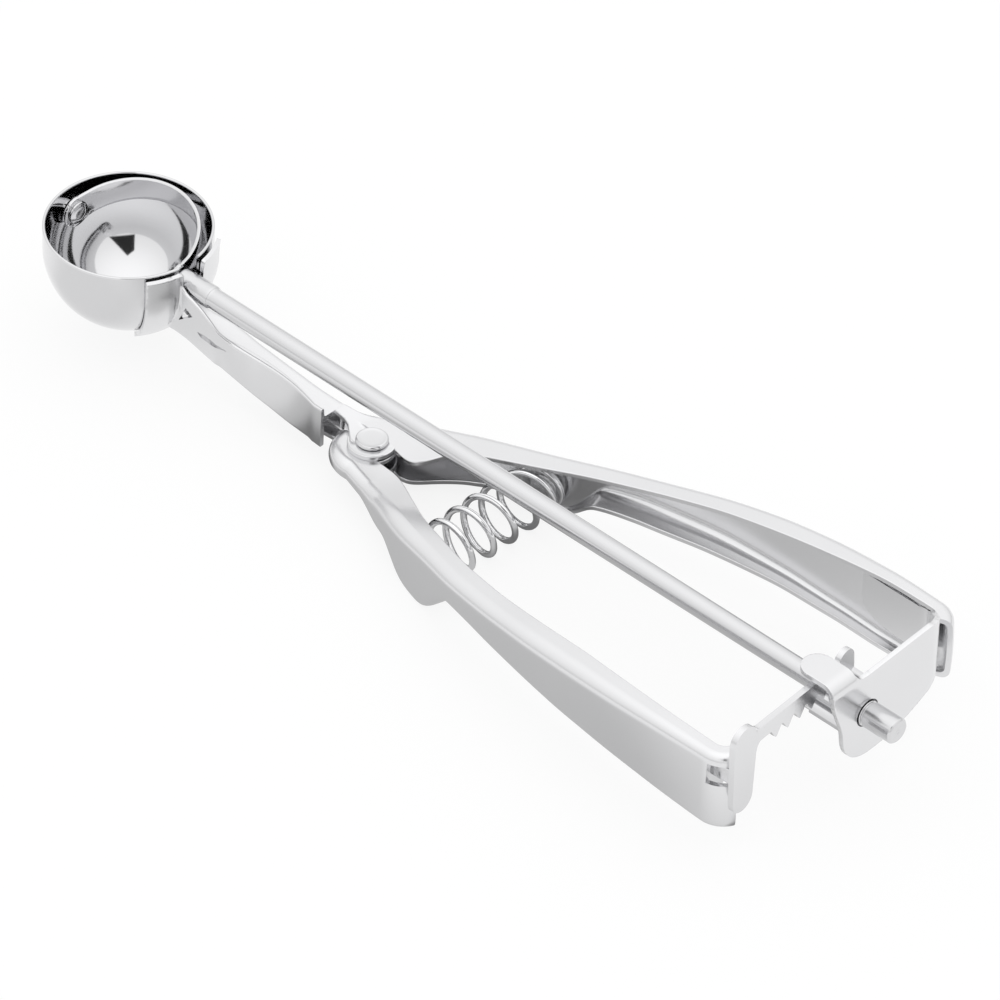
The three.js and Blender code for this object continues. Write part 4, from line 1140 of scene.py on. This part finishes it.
def make_saddle():
    """The pressed wrap behind the bowl: flat pattern in arc length round and down the bowl."""
    radius = BOWL_RADIUS + FIT_GAP + SADDLE_WALL / 2
    wing = math.radians(SADDLE_HALF_ANGLE) * radius
    top = RIM_HEIGHT - SADDLE_RIM_DROP
    tip = math.radians(SADDLE_TIP_ANGLE) * radius
    slot = JOURNAL_RADIUS + FIT_GAP
    side = [
        *bezier([(wing - 0.4, top), (wing, top), (wing, top - 0.4)], 4),
        (wing, 0),
        *bezier([(wing, 0), (wing, -tip * 0.3), (wing * 1.03, -tip * 0.62), (wing * 1.13, -tip * 0.88)], 9),
        *bezier([(wing * 1.13, -tip * 0.88), (wing * 1.16, -tip), (wing * 0.8, -tip)], 6),
    ]
    mouth = bezier([(slot, top - 0.6), (slot, top), (slot + 0.6, top)], 4)
    half = [*arc((0, 0), slot, -90, 0, 10)[:-1], (slot, 0), (slot, top - 0.7), *mouth, *side]
    outline = [*half, *[(-x, y) for x, y in half[::-1]][:-1]]

    def bent(around, up):
        # Round the bowl, a place keeps its distance from the middle line on the way down
        turn = around / radius
        if up >= 0:
            flared = radius + SADDLE_FLARE * (up / top) ** 2
            return (flared * math.cos(turn), flared * math.sin(turn), up)
        down = -up / radius
        return (
            radius * math.cos(down) * math.cos(turn),
            radius * math.cos(down) * math.sin(turn),
            -radius * math.sin(down),
        )

    return edged(flat_pattern("saddle", outline, bent, (0.5, 0.5), pressed_steel, SADDLE_WALL), SADDLE_BEVEL)


def bridge():
    """The top sheet that runs on from the shank over its opening to the eye."""
    rings = []
    for x, near, far, top in BRIDGE_STATIONS:
        corners = [(-near, top - SHEET), (-near, top), (far, top), (far, top - SHEET)]
        rings.append([(x, y, z) for y, z in rounded(corners, [LIP_RADIUS, LIP_RADIUS, BRIDGE_CORNER, 0.1])])
    return lofted("bridge", rings, pressed_steel)


def side_cut(corners):
    """A cutter for the shank's near side, with its corners in the upright plane along the rod."""
    sides = (-2 * SHANK_HALF_WIDTH, -ROD_RADIUS)
    return lofted("cutter", [[(x, y, z) for x, z in corners] for y in sides], pressed_steel)


def make_fixed_handle():
    stations = handle_stations(
        reach=FRAME_REACH, spread=FAR_SPREAD_SHARES, flange=FRAME_FLANGE_SHARES,
        low_flange=FAR_LOW_FLANGE_SHARES, height=FRAME_HEIGHT_SHARES, rise=FRAME_RISE,
        end_height=FRAME_END_HEIGHT, neck_height=NECK_HEIGHT, from_share=FAR_SPREAD_SHARES[0][0],
        drop_at=lambda share: 0.0, corner=lambda share: HANDLE_CORNER,
        low_corner=eased(FAR_LOW_CORNER_SHARES), end_turn=END_TURN)
    handle = lofted("fixed_handle", channel_rings(stations), pressed_steel)
    top = -PIVOT_DROP
    bottom = top - NECK_HEIGHT
    parts = [
        make_shank(), final(make_saddle()), eye_disc(top - SHEET, top, FRAME_EYE_RADIUS),
        eye_disc(bottom, bottom + SHEET, FRAME_EYE_RADIUS), seat_boss(frame_wall, BOSS_RADIUS), bridge(),
    ]
    tools = [pivot_hole(bottom - SHEET, top + SHEET), side_cut(RELIEF_CORNERS), side_cut(RECESS_CORNERS)]
    return combined(handle, parts, tools)


def neck_stations(first):
    """The wall runs round the front of the eye, about the pivot."""
    point, _, section = first
    end_angle = math.atan2(point[1], point[0] - PIVOT_X) + math.radians(24)
    top, bottom, flange, low_flange, corner, low_corner = section
    made = []
    for step in range(NECK_STEPS):
        angle = mixed(math.radians(178), end_angle, step / NECK_STEPS)
        outward = np.array([math.cos(angle), math.sin(angle)])
        place = np.array([PIVOT_X, 0]) + outward * NECK_WRAP_RADIUS
        made.append((place, -outward, (top, bottom, flange * 0.8, low_flange * 0.8, corner, low_corner)))
    return made


def make_moving_handle():
    nest_at = eased(NEST_SHARES)
    run = handle_stations(
        reach=SQUEEZE_REACH, spread=NEAR_SPREAD_SHARES, flange=NEAR_FLANGE_SHARES,
        low_flange=NEAR_FLANGE_SHARES, height=NEAR_HEIGHT_SHARES, rise=SQUEEZE_RISE,
        end_height=SQUEEZE_END_HEIGHT, neck_height=NECK_HEIGHT - 2 * NEST_DROP,
        from_share=NEAR_SPREAD_SHARES[1][0], drop_at=lambda share: nest_at(share) * NEST_DROP,
        corner=eased(NEAR_TOP_CORNER_SHARES), low_corner=lambda share: HANDLE_CORNER,
        end_turn=SQUEEZE_END_TURN)
    handle = lofted("moving_handle", channel_rings([*neck_stations(run[0]), *run]), pressed_steel)
    top = -PIVOT_DROP - NEST_DROP
    bottom = -PIVOT_DROP - NECK_HEIGHT + NEST_DROP
    end = run[-1][0]
    slot_half = TONGUE_HEIGHT / 2 + SLOT_LIFT
    slot = block(
        (end[0] - END_CORNER * 0.7, end[1] - SLOT_SIDE, -TONGUE_DROP - slot_half),
        (end[0] + SHEET, end[1] + END_CORNER, -TONGUE_DROP + slot_half))
    parts = [
        eye_disc(top - SHEET, top, INNER_EYE_RADIUS), eye_disc(bottom, bottom + SHEET, INNER_EYE_RADIUS),
        seat_boss(squeeze_wall, NEAR_BOSS_RADIUS),
    ]
    combined(handle, parts, [pivot_hole(bottom - SHEET, top + SHEET), slot])
    pivot = in_frame((PIVOT_X, 0, 0))
    turn = (
        Matrix.Translation(pivot)
        @ Matrix.Rotation(-math.radians(REST_SPLAY), 4, "Z")
        @ Matrix.Diagonal((1, -1, 1, 1))
        @ Matrix.Translation(-pivot)
    )
    handle.data.transform(turn)
    handle.data.flip_normals()
    return handle


# Pivot rivet


def make_pivot_rivet():
    top = -PIVOT_DROP + PIVOT_HEAD_GAP
    bottom = -PIVOT_DROP - NECK_HEIGHT - PIVOT_HEAD_GAP
    head = PIVOT_HEAD_RADIUS
    rise = PIVOT_HEAD_HEIGHT
    profile = [
        (0, bottom - rise), (head * 0.8, bottom - rise), (head, bottom - rise * 0.5), (head, bottom),
        (PIVOT_RADIUS, bottom), (PIVOT_RADIUS, top), (head, top), (head, top + rise * 0.6),
        (head * 0.88, top + rise), (head * 0.7, top + rise * 0.8), (0, top + rise * 0.7),
    ]
    return final(turned("pivot_rivet_heads", softened(profile, 0.35), bowl_steel, at_pivot))


# Return spring


def spring_points():
    inset = SHEET + FIT_GAP + SPRING_WIRE / 2
    lean = math.radians(REST_SPLAY)
    far_y, far_slope = frame_wall[0] - inset, frame_wall[1]
    near_slope = -math.tan(math.atan(squeeze_wall[1]) + lean)
    near_y = inset + SPRING_ROOM - squeeze_wall[0] - math.sin(lean) * (SPRING_X - PIVOT_X)
    radius_at = eased(SPRING_RADIUS_SHARES, 0.03)
    along_at = eased(SPRING_PITCH_SHARES, 0.03)
    points = []
    for share in np.linspace(0, 1, int(SPRING_TURNS * WIRE_TURN_STEPS) + 1):
        radius = radius_at(share) * SPRING_COIL
        turn = (SPRING_PHASE - share * SPRING_TURNS) * math.tau
        along = along_at(share)
        x = radius * math.cos(turn)
        points.append((
            SPRING_X + x,
            mixed(near_y, far_y, along) + mixed(near_slope, far_slope, along) * x,
            radius * math.sin(turn) - SEAT_DROP,
        ))
    return points


def wire_tree():
    """A tree that draws a round wire along a path."""
    tree, given, sockets = sized_tree(
        "wire along a coil", (("Wire radius", "Float"), ("Sides", "Int"), ("Finish", "Material")))
    make = node_maker(tree)
    path = make("GeometryNodeMeshToCurve", "path")
    circle = make("GeometryNodeCurvePrimitiveCircle", "wire section")
    wire = make("GeometryNodeCurveToMesh", "wire", {"Fill Caps": True})
    real = make("GeometryNodeRealizeInstances", "real wire")
    coat = make("GeometryNodeSetMaterial", "finish")
    out = make("NodeGroupOutput", "spring")
    wire_up(tree, (
        (given, "Sides", circle, "Resolution"),
        (given, "Wire radius", circle, "Radius"),
        (given, "Geometry", path, "Mesh"),
        (path, "Curve", wire, "Curve"),
        (circle, "Curve", wire, "Profile Curve"),
        (wire, 0, real, 0),
        (real, 0, coat, "Geometry"),
        (given, "Finish", coat, "Material"),
        (coat, 0, out, 0),
    ))
    return tree, sockets


def make_spring():
    points = spring_points()
    mesh = bpy.data.meshes.new("coil")
    mesh.from_pydata([in_frame(point) for point in points], [(n, n + 1) for n in range(len(points) - 1)], [])
    tree, sockets = wire_tree()
    values = (SPRING_WIRE / 2 * MM, WIRE_SIDES, wire_steel)
    return drawn(placed("coil_spring", mesh), tree, zip(sockets, values))


# Assembly: each piece rides on its body and stands for its CAD node; the finish named beside it is not used

fits = [
    (make_bowl(), "frame", "bowl", "polished_steel"),
    (make_fixed_handle(), "frame", "handle_frame", "satin_steel"),
    (make_moving_handle(), "handle", "squeeze_handle", "satin_steel"),
    (make_pivot_rivet(), "frame", "pivot_rivet", "satin_steel"),
    (make_spring(), "frame", "return_spring", "spring_wire"),
    (make_rod(), "shaft", "drive_rod", "satin_steel"),
    (make_pinion(), "shaft", "pinion", "satin_steel"),
    (make_rack(), "rack", "rack", "satin_steel"),
    (make_end_plate(), "frame", "end_plate", "satin_steel"),
    (make_scraper(), "shaft", "scraper_blade", "polished_steel"),
    (make_scraper_rivet(), "frame", "scraper_rivet", "polished_steel"),
]
for piece, body, node, finish in fits:
    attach(piece, body)
    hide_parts(node)

spring = bpy.data.objects["coil_spring"]
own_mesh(spring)

# Camera


def make_camera():
    back = Vector((
        math.sin(EYE_AZIMUTH) * math.cos(EYE_ELEVATION),
        -math.cos(EYE_AZIMUTH) * math.cos(EYE_ELEVATION),
        math.sin(EYE_ELEVATION),
    ))
    right = Vector((math.cos(EYE_AZIMUTH), math.sin(EYE_AZIMUTH), 0))
    up = back.cross(right)
    eye = ORIGIN + back * EYE_DISTANCE * MM
    across = (IMAGE_SIZE / 2 - BOWL_CENTRE_PIXEL[0]) / PIXELS_PER_MM * MM
    down = (IMAGE_SIZE / 2 - BOWL_CENTRE_PIXEL[1]) / PIXELS_PER_MM * MM
    aim = ORIGIN + right * across - up * down
    turn = back.rotation_difference((eye - aim).normalized())
    basis = Matrix((right, up, back)).transposed()
    camera = bpy.data.objects.new("camera", bpy.data.cameras.new("camera"))
    camera.rotation_mode = "QUATERNION"
    camera.rotation_quaternion = turn @ basis.to_quaternion()
    camera.location = eye
    camera.data.sensor_width = 36
    camera.data.lens = PIXELS_PER_MM * EYE_DISTANCE * camera.data.sensor_width / IMAGE_SIZE
    camera.data.clip_end = 20
    bpy.context.scene.collection.objects.link(camera)
    bpy.context.scene.camera = camera
    return right, up


eye_right, eye_up = make_camera()

# Light tent: white all round, with the dark opening that the photograph is taken through


def make_world():
    world = bpy.data.worlds.new("light tent")
    world.use_nodes = True
    tree = world.node_tree
    make = node_maker(tree)
    background = tree.nodes["Background"]
    place = make("ShaderNodeTexCoord", "direction")
    # Each edge of the opening holds the sum of a share to the right and a share up below one
    outside = None
    for right_share, up_share in OPENING_EDGES:
        line = eye_right * right_share + eye_up * up_share
        edge = make("ShaderNodeVectorMath", "edge of the opening", {1: line}, operation="DOT_PRODUCT")
        farthest = make("ShaderNodeMath", "past any edge", operation="MAXIMUM")
        wire_up(tree, ((place, "Generated", edge, 0), (edge, "Value", farthest, 1)))
        if outside:
            wire_up(tree, ((outside, 0, farthest, 0),))
        outside = farthest
    inner, outer = 1 - OPENING_SOFTNESS, 1 + OPENING_SOFTNESS
    span = {"From Min": inner, "From Max": outer, "To Min": OPENING_LEVEL, "To Max": 1}
    opening = make("ShaderNodeMapRange", "opening", span)
    height = make("ShaderNodeSeparateXYZ", "height")
    wall = make("ShaderNodeValToRGB", "tent from floor to top")
    ramp = wall.color_ramp
    for position, level in TENT_LEVELS[1:-1]:
        ramp.elements.new(position)
    for element, (position, level) in zip(ramp.elements, TENT_LEVELS):
        element.color = (level, level, level, 1)
    scaled = make("ShaderNodeMapRange", "height share", {"From Min": -1})
    tent = make("ShaderNodeMix", "tent", {"Factor": 1}, data_type="RGBA", blend_type="MULTIPLY")
    seen = make("ShaderNodeLightPath", "seen")
    shown = make("ShaderNodeMix", "shown", {"B": (1, 1, 1, 1)}, data_type="RGBA")
    wire_up(tree, (
        (outside, 0, opening, "Value"),
        (place, "Generated", height, 0),
        (height, "Z", scaled, "Value"),
        (scaled, "Result", wall, "Fac"),
        (wall, "Color", tent, "A"),
        (opening, "Result", tent, "B"),
        (tent, "Result", shown, "A"),
        (seen, "Is Camera Ray", shown, "Factor"),
        (shown, "Result", background, "Color"),
    ))
    bpy.context.scene.world = world


def make_floor():
    """A pale floor that keeps a light shadow, shows white to the camera, and has painted shades in its glow
    where the steel reflects it.
    """
    finish = bpy.data.materials.new("pale floor")
    finish.use_nodes = True
    tree = finish.node_tree
    make = node_maker(tree)
    shader = tree.nodes["Principled BSDF"]
    shader.inputs["Base Color"].default_value = (0.95, 0.95, 0.95, 1)
    shader.inputs["Roughness"].default_value = 0.9
    shader.inputs["Specular IOR Level"].default_value = 0
    glow = make("ShaderNodeEmission", "white sweep", {"Color": (1, 1, 1, 1)})
    seen = make("ShaderNodeLightPath", "seen")
    mirrored = make("ShaderNodeMath", "by camera or metal", operation="MAXIMUM")
    through = make("ShaderNodeMath", "or through", operation="MAXIMUM")
    share = make("ShaderNodeMath", "share of white", {1: FLOOR_WHITE_SHARE}, operation="MULTIPLY")
    place = make("ShaderNodeTexCoord", "place")
    level = None
    # Painted shade: each patch darkens the floor's glow below a part, for the steel's reflections only
    for centre, length, width, darkest_painted_shade in FLOOR_PAINTED_SHADES:
        painted_shade_place = make(
            "ShaderNodeMapping", "shade below a part",
            {"Location": in_frame(centre), "Scale": (length * MM, width * MM, 1)}, vector_type="TEXTURE")
        away = make("ShaderNodeVectorMath", "away from the shade", operation="LENGTH")
        shade = make(
            "ShaderNodeMapRange", "shade", {"From Min": PAINTED_SHADE_CORE, "From Max": PAINTED_SHADE_END, "To Min": darkest_painted_shade},
            interpolation_type="SMOOTHSTEP")
        joined = make("ShaderNodeMath", "shades together", {0: 1}, operation="MULTIPLY")
        wire_up(tree, (
            (place, "Object", painted_shade_place, "Vector"),
            (painted_shade_place, "Vector", away, 0),
            (away, "Value", shade, "Value"),
            (shade, "Result", joined, 1),
        ))
        if level:
            wire_up(tree, ((level, 0, joined, 0),))
        level = joined
    white = make("ShaderNodeMath", "white to the camera", operation="MAXIMUM")
    blend = make("ShaderNodeMixShader", "blend")
    wire_up(tree, (
        (seen, "Is Camera Ray", mirrored, 0),
        (seen, "Is Glossy Ray", mirrored, 1),
        (mirrored, 0, through, 0),
        (seen, "Is Transmission Ray", through, 1),
        (through, 0, share, 0),
        (level, 0, white, 0),
        (seen, "Is Camera Ray", white, 1),
        (white, 0, glow, "Strength"),
        (share, 0, blend, "Fac"),
        (shader, 0, blend, 1),
        (glow, 0, blend, 2),
        (blend, 0, tree.nodes["Material Output"], "Surface"),
    ))
    half = FLOOR_HALF_SIZE
    mesh = bpy.data.meshes.new("floor")
    corners = [(-half, -half, 0), (half, -half, 0), (half, half, 0), (-half, half, 0)]
    mesh.from_pydata(corners, [], [(0, 1, 2, 3)])
    mesh.materials.append(finish)
    placed("floor", mesh)


make_world()
make_floor()
bpy.context.scene.view_settings.view_transform = "Standard"
